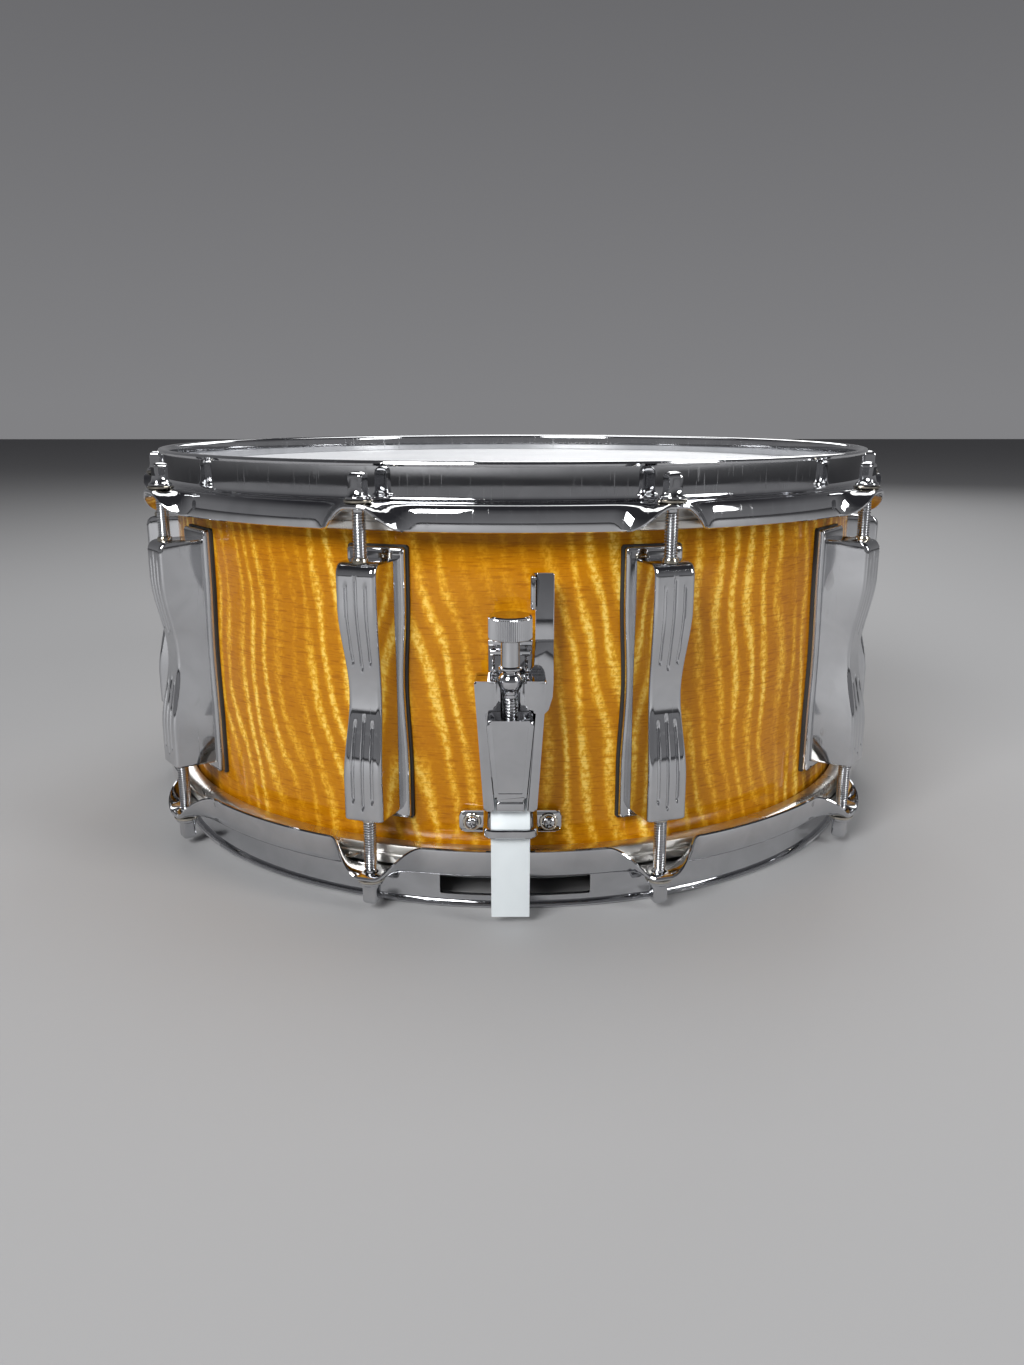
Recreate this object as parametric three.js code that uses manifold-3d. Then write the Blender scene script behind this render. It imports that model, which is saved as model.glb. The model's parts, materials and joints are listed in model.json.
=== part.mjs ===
// A 14 x 6.5 inch maple snare drum with ten double-ended lugs, steel hoops and a side-throw strainer.
//
// Frame: millimetres, +Z up. The drum stands on Z = 0 with its axis on the Z axis, and the strainer
// faces -Y. Pieces on the shell are drawn at the front, where a point at radius n is (x, -n, z),
// and are then turned about Z to their own angle.
import * as THREE from "three";
import { mergeVertices } from "three/addons/utils/BufferGeometryUtils.js";
import Module from "manifold-3d";

const wasm = await Module();
wasm.setup();

// ---------------------------------------------------------------- driving dimensions

const INCH = 25.4;
const SHELL_RADIUS = 7 * INCH;
const SHELL_DEPTH = 6.5 * INCH;
const SHELL_WALL = 7.5;
const DRUM_HEIGHT = 185.8; // lip to lip
const HEAD_RECESS = (DRUM_HEIGHT - SHELL_DEPTH) / 2; // bearing edge to hoop lip
const GAP = 0.3; // between pieces that touch

const LUG_COUNT = 10;
const LUG_STEP = 360 / LUG_COUNT;
const LUG_ANGLES = Array.from({ length: LUG_COUNT }, (_, i) => LUG_STEP * (i + 0.5));
const ROD_CIRCLE = 195; // radius that the tension rods stand on
const MID_HEIGHT = DRUM_HEIGHT / 2;

const LATHE_STEPS = 60;

// ---------------------------------------------------------------- geometry helpers

/** A closed geometry as a manifold solid. */
function solid(geometry) {
  const bare = geometry.clone();
  for (const name of Object.keys(bare.attributes)) {
    if (name !== "position") bare.deleteAttribute(name);
  }
  const merged = mergeVertices(bare, 1e-3);
  const vertProperties = new Float32Array(merged.attributes.position.array);
  const triVerts = new Uint32Array(merged.index.array);
  return new wasm.Manifold(new wasm.Mesh({ numProp: 3, vertProperties, triVerts }));
}

/** A manifold solid as a geometry. */
function geometryOf(made) {
  const { numProp, numVert, vertProperties, triVerts } = made.getMesh();
  const places = new Float32Array(numVert * 3);
  for (let i = 0; i < numVert; i++) {
    places.set(vertProperties.subarray(i * numProp, i * numProp + 3), i * 3);
  }
  const geometry = new THREE.BufferGeometry();
  geometry.setAttribute("position", new THREE.BufferAttribute(places, 3));
  geometry.setIndex(new THREE.BufferAttribute(new Uint32Array(triVerts), 1));
  const flat = geometry.toNonIndexed();
  flat.computeVertexNormals();
  return flat;
}

/** Geometries joined into one, less the tools. */
function shape(parts, tools = []) {
  let made = parts.map(solid).reduce((a, b) => a.add(b));
  for (const tool of tools) made = made.subtract(solid(tool));
  return geometryOf(made);
}

/** A box at the front of the shell, from x0 to x1, radius n0 to n1 and z0 to z1. */
function block(x0, x1, n0, n1, z0, z1) {
  const box = new THREE.BoxGeometry(x1 - x0, n1 - n0, z1 - z0);
  return box.translate((x0 + x1) / 2, -(n0 + n1) / 2, (z0 + z1) / 2);
}

/** An upright cylinder at (x, -n), from z0 to z1. */
function post(radius, x, n, z0, z1, sides = 12) {
  const made = new THREE.CylinderGeometry(radius, radius, z1 - z0, sides);
  return made.rotateX(Math.PI / 2).translate(x, -n, (z0 + z1) / 2);
}

/** A cylinder that points out of the shell at (x, z), from radius n0 to n1. */
function peg(radius, x, z, n0, n1, sides = 12) {
  const made = new THREE.CylinderGeometry(radius, radius, n1 - n0, sides);
  return made.translate(x, -(n0 + n1) / 2, z);
}

/** A closed profile of [radius, z] points turned about Z. */
function turned(profile, steps = LATHE_STEPS) {
  const ring = profile.map(([r, z]) => new THREE.Vector2(r, z));
  if (profile[0][0] > 0) ring.push(ring[0].clone());
  return new THREE.LatheGeometry(ring, steps).rotateX(Math.PI / 2);
}

/**
 * A skin over rings of [x, y, z] points; with no caps the last ring joins the first. The two halves
 * of an outline are cut along matching diagonals, so that a twisted sheet keeps its thickness.
 */
function skin(rings, capped) {
  const count = rings[0].length;
  const points = rings.flat();
  const faces = [];
  const spans = capped ? rings.length - 1 : rings.length;
  for (let i = 0; i < spans; i++) {
    const here = i * count;
    const next = ((i + 1) % rings.length) * count;
    for (let j = 0; j < count; j++) {
      const k = (j + 1) % count;
      const [a, b, c, d] = [here + j, here + k, next + k, next + j];
      if (j < count / 2) faces.push(a, b, c, a, c, d);
      else faces.push(a, b, d, b, c, d);
    }
  }
  if (capped) {
    const outline = rings[0].map(([x, y]) => new THREE.Vector2(x, y));
    const top = (rings.length - 1) * count;
    for (const [a, b, c] of THREE.ShapeUtils.triangulateShape(outline, [])) {
      faces.push(a, c, b, top + a, top + b, top + c);
    }
  }
  const geometry = new THREE.BufferGeometry();
  geometry.setAttribute("position", new THREE.Float32BufferAttribute(points.flat(), 3));
  geometry.setIndex(faces);
  return geometry;
}

/** Rises smoothly from 0 to 1 as x goes from a to b. */
function ease(x, a, b) {
  return THREE.MathUtils.smoothstep(x, a, b);
}

/** The two sides of a strip of even thickness along [a, b] points, as one closed outline. */
function strip(line, thickness) {
  const sides = [[], []];
  line.forEach(([a, b], i) => {
    const before = line[Math.max(i - 1, 0)];
    const after = line[Math.min(i + 1, line.length - 1)];
    const into = new THREE.Vector2(a - before[0], b - before[1]).normalize();
    const away = new THREE.Vector2(after[0] - a, after[1] - b).normalize();
    if (i === 0) into.copy(away);
    if (i === line.length - 1) away.copy(into);
    const along = into.clone().add(away).normalize();
    const mitre = thickness / 2 / along.dot(into);
    sides[0].push([a - along.y * mitre, b + along.x * mitre]);
    sides[1].unshift([a + along.y * mitre, b - along.x * mitre]);
  });
  return sides.flat();
}

// ---------------------------------------------------------------- finishes

const finish = (colour, roughness, metalness) =>
  new THREE.MeshStandardMaterial({ color: colour, roughness, metalness });
const MAPLE = finish(0xc98a2e, 0.25, 0);
const CHROME = finish(0xd8dade, 0.08, 1);
const ALUMINIUM = finish(0xb9bbbd, 0.35, 1);
const COATED_FILM = finish(0xe9eaec, 0.6, 0);
const CLEAR_FILM = finish(0xdfe6ea, 0.1, 0);
const WHITE_STRAP = finish(0xe6eaee, 0.4, 0);
const SNARE_STEEL = finish(0xb6b8ba, 0.3, 1);

const drum = new THREE.Group();

/** Adds a named piece to a group. */
function add(name, geometry, material, group = drum) {
  const mesh = new THREE.Mesh(geometry, material);
  mesh.name = name;
  group.add(mesh);
  return mesh;
}

// ---------------------------------------------------------------- shell

// Plies of maple bent into a cylinder, with a 45 degree cut inside each bearing edge.
const SHELL_INNER = SHELL_RADIUS - SHELL_WALL;
const SHELL_BOTTOM = HEAD_RECESS;
const SHELL_TOP = DRUM_HEIGHT - HEAD_RECESS;
const EDGE_CUT = 4.5;
const EDGE_ROUND = 2.5;

const VENT_TURN = THREE.MathUtils.degToRad(108);
const VENT_HOLE = 6.5;

const shellBody = turned([
  [SHELL_INNER, SHELL_BOTTOM + EDGE_CUT],
  [SHELL_RADIUS - EDGE_ROUND, SHELL_BOTTOM],
  [SHELL_RADIUS, SHELL_BOTTOM + EDGE_ROUND],
  [SHELL_RADIUS, SHELL_TOP - EDGE_ROUND],
  [SHELL_RADIUS - EDGE_ROUND, SHELL_TOP],
  [SHELL_INNER, SHELL_TOP - EDGE_CUT],
]);
const ventCut = peg(VENT_HOLE, 0, MID_HEIGHT, SHELL_INNER - 5, SHELL_RADIUS + 5);
ventCut.rotateZ(VENT_TURN);
add("shell", shape([shellBody], [ventCut]), MAPLE);

// ---------------------------------------------------------------- heads

// Each head is a film that folds over the bearing edge, held in an aluminium ring. The film and
// ring are drawn for the batter side and turned over for the snare side.
const FILM = 0.5;
const FILM_TOP = SHELL_TOP + GAP + FILM;
const COLLAR_INNER = SHELL_RADIUS + GAP + 0.2;
const COLLAR_TUCK = 3; // how far the film reaches into the ring
const HOOP_STEP = 16.5; // hoop lip to the middle of the flange that pulls the head down
const HOOP_SHEET = 2.2;
const RING_TOP = DRUM_HEIGHT - HOOP_STEP - HOOP_SHEET / 2 - GAP;
const RING_HEIGHT = 9;
const RING_INNER = COLLAR_INNER + FILM + GAP;
const RING_OUTER = 186.6;

const film = turned([
  [0, FILM_TOP - FILM],
  [SHELL_RADIUS - EDGE_ROUND + 0.2, FILM_TOP - FILM],
  [COLLAR_INNER, SHELL_TOP - EDGE_ROUND],
  [COLLAR_INNER, RING_TOP - RING_HEIGHT + COLLAR_TUCK],
  [COLLAR_INNER + FILM, RING_TOP - RING_HEIGHT + COLLAR_TUCK],
  [COLLAR_INNER + FILM, SHELL_TOP - EDGE_ROUND + 0.3],
  [SHELL_RADIUS - EDGE_ROUND + 0.5, FILM_TOP],
  [0, FILM_TOP],
]);
const ring = turned([
  [RING_INNER, RING_TOP - RING_HEIGHT],
  [RING_OUTER, RING_TOP - RING_HEIGHT],
  [RING_OUTER, RING_TOP],
  [RING_INNER, RING_TOP],
]);

/** Turns a batter-side geometry over to the snare side. */
function turnedOver(geometry) {
  return geometry.clone().rotateX(Math.PI).translate(0, 0, DRUM_HEIGHT);
}

add("batter_head", shape([film]), COATED_FILM);
add("batter_head_ring", shape([ring]), ALUMINIUM);
add("snare_head", shape([turnedOver(film)]), CLEAR_FILM);
add("snare_head_ring", shape([turnedOver(ring)]), ALUMINIUM);

// ---------------------------------------------------------------- hoops

// A triple-flanged hoop is one bent steel sheet: a rolled lip, a wall, a step that presses the
// head ring, and a skirt that lies flat as an ear at each rod and folds up beside it.
const WALL_RADIUS = 181.5;
const LIP_RADIUS = 184.8;
const SKIRT_RADIUS = 188.6;
const BATTER_SKIRT = 10.3;
const SNARE_SKIRT = 12.2;
const EAR_LENGTH = 12.6;
const SKIRT_ANGLE = THREE.MathUtils.degToRad(83);
const EAR_FLAT = 1.6; // degrees each side of a rod that stay flat
const EAR_FADE = 6.6; // degrees each side by which the skirt stands up
const EAR_STOPS = [0, 0.25, 0.5, 0.75, 1]; // sections drawn across each fold
const SKIRT_STOP = 12.5; // degrees each side of a rod for one more section of the skirt
const EAR_HOLE = 3.5;
const GATE_HALF_WIDTH = 32;
const GATE_LOW = 5;
const GATE_HIGH = HOOP_STEP - HOOP_SHEET / 2 - 0.4;

/** A hoop's outline at an angle from the nearest rod, lip down, as [radius, z]. */
function hoopOutline(fromRod, skirt) {
  const rise = ease(Math.abs(fromRod), EAR_FLAT, EAR_FADE);
  const fold = SKIRT_ANGLE * rise;
  const length = EAR_LENGTH + (skirt - EAR_LENGTH) * rise;
  const line = [
    [LIP_RADIUS, HOOP_SHEET / 2],
    [WALL_RADIUS, HOOP_SHEET / 2],
    [WALL_RADIUS, HOOP_STEP],
    [SKIRT_RADIUS, HOOP_STEP],
    [SKIRT_RADIUS + length * Math.cos(fold), HOOP_STEP + length * Math.sin(fold)],
  ];
  return strip(line, HOOP_SHEET);
}

function hoop(skirt) {
  const fold = EAR_STOPS.map((share) => EAR_FLAT + share * (EAR_FADE - EAR_FLAT));
  const oneSide = [...fold, SKIRT_STOP];
  const offsets = [...oneSide, ...oneSide.map((stop) => LUG_STEP - stop).reverse()];
  const rings = [];
  for (const lug of LUG_ANGLES) {
    for (const offset of offsets) {
      const fromRod = offset > LUG_STEP / 2 ? offset - LUG_STEP : offset;
      const angle = THREE.MathUtils.degToRad(lug + offset);
      const outline = hoopOutline(fromRod, skirt);
      rings.push(outline.map(([r, z]) => [r * Math.sin(angle), -r * Math.cos(angle), z]));
    }
  }
  return skin(rings, false);
}

/** The same tool at every rod. */
function atEachRod(make) {
  return LUG_ANGLES.map((angle) => make().rotateZ(THREE.MathUtils.degToRad(angle)));
}

const earHoles = atEachRod(() => post(EAR_HOLE, 0, ROD_CIRCLE, HOOP_STEP - 4, HOOP_STEP + 4, 8));
const gates = [0, Math.PI].map((turn) =>
  block(-GATE_HALF_WIDTH, GATE_HALF_WIDTH, 170, RING_OUTER, GATE_LOW, GATE_HIGH).rotateZ(turn),
);
add("batter_hoop", turnedOver(shape([hoop(BATTER_SKIRT)], earHoles)), CHROME);
add("snare_hoop", shape([hoop(SNARE_SKIRT)], [...earHoles, ...gates]), CHROME);

// ---------------------------------------------------------------- lugs

// A bow-tie casing cast hollow, with a rim that sits on the shell over a thin gasket. It is drawn
// about its own middle height, and narrows and dips towards its waist.
const LUG_MIDDLE = 94.8;
const LUG_BACK = SHELL_RADIUS + 1.3;
const LUG_HALF = 52.8;
const RIM_HALF = 57.2;
const RIM_DEPTH = 2.8;
const LUG_WALL = 1.8;
const LUG_EDGE = 1.3;
const LUG_ROD_HOLE = 3.6;
const WAIST_REACH = 36;
const LUG_STOPS = [30, 18, 8]; // heights that the casing is drawn at, each side of the waist
const HOLLOW_STOPS = [20];

/** 0 at the waist of the lug and 1 towards its ends. */
const flare = (z) => ease(Math.abs(z), 0, WAIST_REACH);
const lugWidth = (z) => 6.9 + 1.55 * flare(z);
const footWidth = (z) => 9.4 + 0.5 * flare(z);
const rimWidth = (z) => 11 + 1.4 * flare(z);
const lugFront = (z) => 195.8 + 5.1 * flare(z);

/** A skin through outlines of [x, radius] drawn at each height. */
function loft(heights, outline) {
  return skin(heights.map((z) => outline(z).map(([x, n]) => [x, -n, z])), true);
}

/** Heights from -half to half with the given stops between. */
function stops(half, between) {
  return [-half, ...between.map((z) => -z), 0, ...[...between].reverse(), half];
}

function lugCasing() {
  const body = loft(stops(LUG_HALF, LUG_STOPS), (z) => {
    const w = lugWidth(z);
    const foot = footWidth(z);
    const front = lugFront(z);
    const back = LUG_BACK + 0.5;
    return [
      [foot, back],
      [-foot, back],
      [-w, front - LUG_EDGE],
      [-w + LUG_EDGE, front],
      [w - LUG_EDGE, front],
      [w, front - LUG_EDGE],
    ];
  });
  const rim = loft(stops(RIM_HALF, LUG_STOPS), (z) => {
    const w = rimWidth(z);
    return [
      [w, LUG_BACK],
      [-w, LUG_BACK],
      [-w, LUG_BACK + RIM_DEPTH],
      [w, LUG_BACK + RIM_DEPTH],
    ];
  });
  const hollow = loft(stops(LUG_HALF - LUG_WALL, HOLLOW_STOPS), (z) => {
    const w = lugWidth(z) - LUG_WALL;
    return [
      [w, LUG_BACK - 1],
      [-w, LUG_BACK - 1],
      [-w, lugFront(z) - LUG_WALL],
      [w, lugFront(z) - LUG_WALL],
    ];
  });
  const rodHoles = [-1, 1].map((end) => {
    const middle = end * LUG_HALF;
    return post(LUG_ROD_HOLE, 0, ROD_CIRCLE, middle - 6, middle + 6, 8);
  });
  return shape([body, rim], [hollow, ...rodHoles]);
}

const casing = lugCasing();
LUG_ANGLES.forEach((angle, i) => {
  const lug = add(`lug_${i + 1}`, casing, CHROME);
  lug.rotation.z = THREE.MathUtils.degToRad(angle);
  lug.position.z = LUG_MIDDLE;
});

// ---------------------------------------------------------------- tension rods

// A square-headed key rod. It is drawn head up on its own axis, seated on the washer of an ear
// at height 0, and its shank runs down through the ear into the lug.
const ROD_RADIUS = 2.6;
const ROD_LENGTH = 47;
const WASHER = 1.3;
const ROD_FLANGE = 4.9;
const FLANGE_HEIGHT = 1.2;
const FLARE_HEIGHT = 4.2;
const KEY_SIDE = 6.2;
const HEAD_HEIGHT = 10.6;

function tensionRod() {
  const seat = WASHER;
  const shank = turned(
    [
      [0, -ROD_LENGTH],
      [ROD_RADIUS, -ROD_LENGTH],
      [ROD_RADIUS, seat],
      [ROD_FLANGE, seat],
      [ROD_FLANGE, seat + FLANGE_HEIGHT],
      [KEY_SIDE / 2, seat + FLARE_HEIGHT],
      [0, seat + FLARE_HEIGHT],
    ],
    8,
  );
  const keyHeight = HEAD_HEIGHT - FLANGE_HEIGHT;
  const key = new THREE.BoxGeometry(KEY_SIDE, KEY_SIDE, keyHeight);
  key.translate(0, 0, seat + FLANGE_HEIGHT + keyHeight / 2);
  return shape([shank, key]);
}

const rod = tensionRod();
const EAR_FACE = HOOP_STEP - HOOP_SHEET / 2 - GAP / 2;
for (const side of ["batter", "snare"]) {
  LUG_ANGLES.forEach((angle, i) => {
    const turn = THREE.MathUtils.degToRad(angle);
    const mesh = add(`${side}_rod_${i + 1}`, rod, CHROME);
    const height = side === "batter" ? DRUM_HEIGHT - EAR_FACE : EAR_FACE;
    mesh.position.set(ROD_CIRCLE * Math.sin(turn), -ROD_CIRCLE * Math.cos(turn), height);
    mesh.rotation.set(side === "batter" ? 0 : Math.PI, 0, side === "batter" ? turn : -turn);
  });
}

// ---------------------------------------------------------------- strainer

// The side-throw strainer. A base screwed to the shell carries a lever on a pivot boss. A pin on
// the lever works in a slot of the carriage, so that throwing the lever lets the carriage down.
// The knob hangs in the carriage's fork and screws the clamp slide up or down in it.
const STRAINER_X = -2;
const strainer = new THREE.Group();
strainer.position.x = STRAINER_X;
drum.add(strainer);

const BASE_BACK = SHELL_RADIUS + 0.8;
const BASE_FRONT = 186;
const BASE_HALF = 8.8;
const BASE_TOP = 117.5;
const SHELF_FRONT = 189.3;
const SHELF = 2.5;
const EAR_FRONT = 181.2;
const EAR_TOP = 43;
const EAR_LOW = 33.5;
const STRAINER_EAR_HALF = 21.3;
const STRAINER_SCREW_X = 16;
const STRAINER_SCREW_Z = (EAR_TOP + EAR_LOW) / 2;
const PIVOT_Z = 92;
const PIVOT_RADIUS = 2.4;
const PIVOT_FRONT = 192.5;
const SCREW_HOLE = 2.1;
const SCREW_SHANK = 1.8;
const LOOP_HALF = 11;
const LOOP_WALL = 2;
const LOOP_FRONT = 207.2;
const LOOP_TOP = 44.5;
const LOOP_LOW = 40.8;

function strainerBase() {
  const plate = block(-BASE_HALF, BASE_HALF, BASE_BACK, BASE_FRONT, EAR_LOW, BASE_TOP);
  const shelf = block(-BASE_HALF, BASE_HALF, BASE_FRONT - 1, SHELF_FRONT, BASE_TOP - SHELF, BASE_TOP);
  const ears = block(-STRAINER_EAR_HALF, STRAINER_EAR_HALF, BASE_BACK, EAR_FRONT, EAR_LOW, EAR_TOP);
  const boss = peg(PIVOT_RADIUS, 0, PIVOT_Z, BASE_FRONT - 1, PIVOT_FRONT);
  const loop = block(-LOOP_HALF, LOOP_HALF, BASE_FRONT - 5, LOOP_FRONT, LOOP_LOW, LOOP_TOP);
  const loopHole = block(
    -LOOP_HALF + LOOP_WALL,
    LOOP_HALF - LOOP_WALL,
    BASE_FRONT + 0.5,
    LOOP_FRONT - LOOP_WALL,
    LOOP_LOW - 1,
    LOOP_TOP + 1,
  );
  const screwHoles = [-1, 1].map((side) =>
    peg(SCREW_HOLE, side * STRAINER_SCREW_X, STRAINER_SCREW_Z, BASE_BACK - 1, EAR_FRONT + 1, 8),
  );
  return shape([plate, shelf, ears, boss, loop], [loopHole, ...screwHoles]);
}
add("strainer_base", strainerBase(), CHROME, strainer);

/** A pan-head screw that points into the shell, its head seated at radius n. */
function screw(x, z, n, headRadius, headHeight, length) {
  return shape([
    peg(headRadius, x, z, n, n + headHeight, 10),
    peg(SCREW_SHANK, x, z, n - length, n + 0.5, 8),
  ]);
}

const SIDES = [["left", -1], ["right", 1]];
const SCREW_SEAT = EAR_FRONT + 1.2; // over a washer
const SCREW_HEAD = 3.7;
const SCREW_RISE = 2.4;
const SCREW_LENGTH = 3.4;
for (const [name, side] of SIDES) {
  const x = side * STRAINER_SCREW_X;
  const made = screw(x, STRAINER_SCREW_Z, SCREW_SEAT, SCREW_HEAD, SCREW_RISE, SCREW_LENGTH);
  add(`strainer_screw_${name}`, made, CHROME, strainer);
}

// The lever: a flat plate around the pivot, with an upright arm on the right and a thumb tab.
const LEVER_BACK = BASE_FRONT + 0.4;
const LEVER_FRONT = LEVER_BACK + 2.2;
const LEVER_TOP = 143.6;
const ARM_INNER = 9.8;
const ARM_OUTER = 17.2;
const HUB_RADIUS = 8.5;
const TAB_INNER = 7.6;
const TAB_FRONT = 195;
const TAB_HEIGHT = 13.5;
const DROP = 6; // the carriage's travel
const CAM_ANGLE = THREE.MathUtils.degToRad(40); // half of the lever's throw
const CAM_REACH = DROP / (2 * Math.sin(CAM_ANGLE));
const CAM_PIN = 1.2;
const CAM_FRONT = 192.2;

function leverPlate() {
  const outline = new THREE.Shape();
  outline.moveTo(ARM_INNER, LEVER_TOP - PIVOT_Z);
  outline.lineTo(ARM_INNER, 14);
  outline.quadraticCurveTo(ARM_INNER, HUB_RADIUS, 0, HUB_RADIUS);
  outline.absarc(0, 0, HUB_RADIUS, Math.PI / 2, Math.PI * 1.5);
  outline.quadraticCurveTo(15.5, -HUB_RADIUS - 6, ARM_OUTER, 2);
  outline.lineTo(ARM_OUTER, LEVER_TOP - PIVOT_Z);
  const plate = new THREE.ExtrudeGeometry(outline, {
    depth: LEVER_FRONT - LEVER_BACK,
    bevelEnabled: false,
    curveSegments: 6,
  });
  return plate.rotateX(Math.PI / 2).translate(0, -LEVER_BACK, PIVOT_Z);
}

function lever() {
  const tabLow = LEVER_TOP - TAB_HEIGHT;
  const tab = block(TAB_INNER, ARM_INNER + 0.1, LEVER_BACK, TAB_FRONT, tabLow, LEVER_TOP);
  const pinX = CAM_REACH * Math.cos(CAM_ANGLE);
  const pinZ = PIVOT_Z + CAM_REACH * Math.sin(CAM_ANGLE);
  const pin = peg(CAM_PIN, pinX, pinZ, LEVER_FRONT - 1, CAM_FRONT, 8);
  const pivotHole = peg(PIVOT_RADIUS + 0.25, 0, PIVOT_Z, LEVER_BACK - 1, LEVER_FRONT + 1);
  return shape([leverPlate(), tab, pin], [pivotHole]);
}
add("strainer_lever", lever(), CHROME, strainer);

// The carriage: a tapered tray, forked at the top for the knob and grooved down its front for
// the clamp slide.
const CARRIAGE_BACK = LEVER_FRONT + 0.4;
const CARRIAGE_FRONT = 203.6;
const CARRIAGE_LOW = 51.2;
const CARRIAGE_TOP = 104.2;
const GROOVE_BACK = 193.8;
const GROOVE_TOP = 92.5;
const KNOB_AXIS = 198.5;
const FORK_HALF = 5.5;
const FORK_LOW = 88;
const SLOT_DEPTH = 193;
const STRAP_SLOT_HALF = 8.5;
const STRAP_SLOT_TOP = 60.7;
const SLIDE_LOW = 57.5;
const SLIDE_TOP = 89.5;
const SLIDE_FRONT = 207.4;

const carriageHalf = (z) => THREE.MathUtils.mapLinear(z, CARRIAGE_LOW, CARRIAGE_TOP, 10.5, 14);
const slideHalf = (z) => THREE.MathUtils.mapLinear(z, SLIDE_LOW, SLIDE_TOP, 6.1, 9);

/** A tapered block whose half width is a function of height. */
function taper(half, n0, n1, z0, z1) {
  return loft([z0, z1], (z) => [
    [half(z), n0],
    [-half(z), n0],
    [-half(z), n1],
    [half(z), n1],
  ]);
}

function carriage() {
  const body = taper(carriageHalf, CARRIAGE_BACK, CARRIAGE_FRONT, CARRIAGE_LOW, CARRIAGE_TOP);
  const grooveHalf = (z) => slideHalf(z) + 0.7;
  const groove = taper(grooveHalf, GROOVE_BACK, CARRIAGE_FRONT + 1, CARRIAGE_LOW - 1, GROOVE_TOP);
  const fork = block(
    -FORK_HALF,
    FORK_HALF,
    SLOT_DEPTH,
    CARRIAGE_FRONT + 1,
    FORK_LOW,
    CARRIAGE_TOP + 1,
  );
  const strapSlot = block(
    -STRAP_SLOT_HALF,
    STRAP_SLOT_HALF,
    GROOVE_BACK,
    SLIDE_FRONT - 6.4,
    CARRIAGE_LOW - 1,
    STRAP_SLOT_TOP,
  );
  const bossSlot = block(
    -PIVOT_RADIUS - 0.3,
    PIVOT_RADIUS + 0.3,
    CARRIAGE_BACK - 1,
    SLOT_DEPTH,
    PIVOT_Z - PIVOT_RADIUS - 0.5,
    PIVOT_Z + PIVOT_RADIUS + DROP + 0.8,
  );
  const pinZ = PIVOT_Z + CAM_REACH * Math.sin(CAM_ANGLE);
  const pinGap = CAM_PIN + 0.4;
  const pinSlot = block(1.5, 6.5, CARRIAGE_BACK - 1, CAM_FRONT + 0.5, pinZ - pinGap, pinZ + pinGap);
  return shape([body], [groove, fork, strapSlot, bossSlot, pinSlot]);
}
add("strainer_carriage", carriage(), CHROME, strainer);

// The clamp slide and its jaw, which grips the strap.
const SLIDE_BACK = 194.2;
const JAW_LOW = 51;
const HEEL_HALF = 5.2;
const HEEL_FRONT = 197.9;
const JAW_HALF = 5.6;
const JAW_BACK = 200.7;
const JAW_FRONT = 203.9;

function clampSlide() {
  const body = taper(slideHalf, SLIDE_BACK, SLIDE_FRONT, SLIDE_LOW, SLIDE_TOP);
  const heel = block(-HEEL_HALF, HEEL_HALF, SLIDE_BACK, HEEL_FRONT, JAW_LOW, SLIDE_LOW + 1);
  const threadHole = post(3.4, 0, KNOB_AXIS, 74, SLIDE_TOP + 1);
  return shape([body, heel], [threadHole]);
}
add("clamp_slide", clampSlide(), CHROME, strainer);

const jaw = block(-JAW_HALF, JAW_HALF, JAW_BACK, JAW_FRONT, JAW_LOW, SLIDE_LOW - GAP);
add("clamp_jaw", shape([jaw]), CHROME, strainer);

// The knob: a knurled head, a plain shank, a ball that sits in the fork, and the screw.
const KNOB_LOW = 119.8;
const KNOB_TOP = 129.4;
const KNOB_HEAD = 8.5;

function knob() {
  return turned(
    [
      [0, 79],
      [3, 79],
      [3, 97],
      [2.4, 98.5],
      [4.2, 100.5],
      [4.9, 103.2],
      [4.2, 106],
      [3.2, 107.4],
      [4.6, 108],
      [4.6, 109.2],
      [3.7, 109.8],
      [3.7, KNOB_LOW],
      [KNOB_HEAD, KNOB_LOW],
      [KNOB_HEAD, KNOB_TOP],
      [0, KNOB_TOP],
    ],
    12,
  ).translate(0, -KNOB_AXIS, 0);
}
add("tension_knob", shape([knob()]), CHROME, strainer);

// ---------------------------------------------------------------- snare straps and wires

const STRAP_HALF = 8;
const STRAP = 0.8;

/** A flat strap whose middle line is given as [radius, z] points. */
function strap(line) {
  const outline = strip(line, STRAP).map(([n, z]) => new THREE.Vector2(-n, z));
  const flat = new THREE.Shape(outline);
  const made = new THREE.ExtrudeGeometry(flat, { depth: 2 * STRAP_HALF, bevelEnabled: false });
  // The outline lies in (y, z), and its depth runs along x.
  const toFront = new THREE.Matrix4().makeBasis(
    new THREE.Vector3(0, 1, 0),
    new THREE.Vector3(0, 0, 1),
    new THREE.Vector3(1, 0, 0),
  );
  return made.applyMatrix4(toFront).translate(-STRAP_HALF, 0, 0);
}

const END_PLATE_OUTER = 168;
const WIRE_Z = HEAD_RECESS - GAP - FILM - GAP - 0.95;
const FRONT_STRAP = [
  [198.7, 56.8],
  [198.7, 50],
  [197.4, 40],
  [194.6, 24],
  [192.4, 15],
  [189, 11.6],
  [182, 9.4],
  [177, WIRE_Z - 0.2],
  [END_PLATE_OUTER + GAP, WIRE_Z - 0.2],
];
add("snare_strap_front", shape([strap(FRONT_STRAP)]), WHITE_STRAP, strainer);
const TAIL = [
  [199.9, 56.8],
  [199.9, 48.2],
  [203.2, 43.6],
  [203.4, 39],
  [199.2, 3.8],
];
add("snare_strap_tail", shape([strap(TAIL)]), WHITE_STRAP, strainer);

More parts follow.
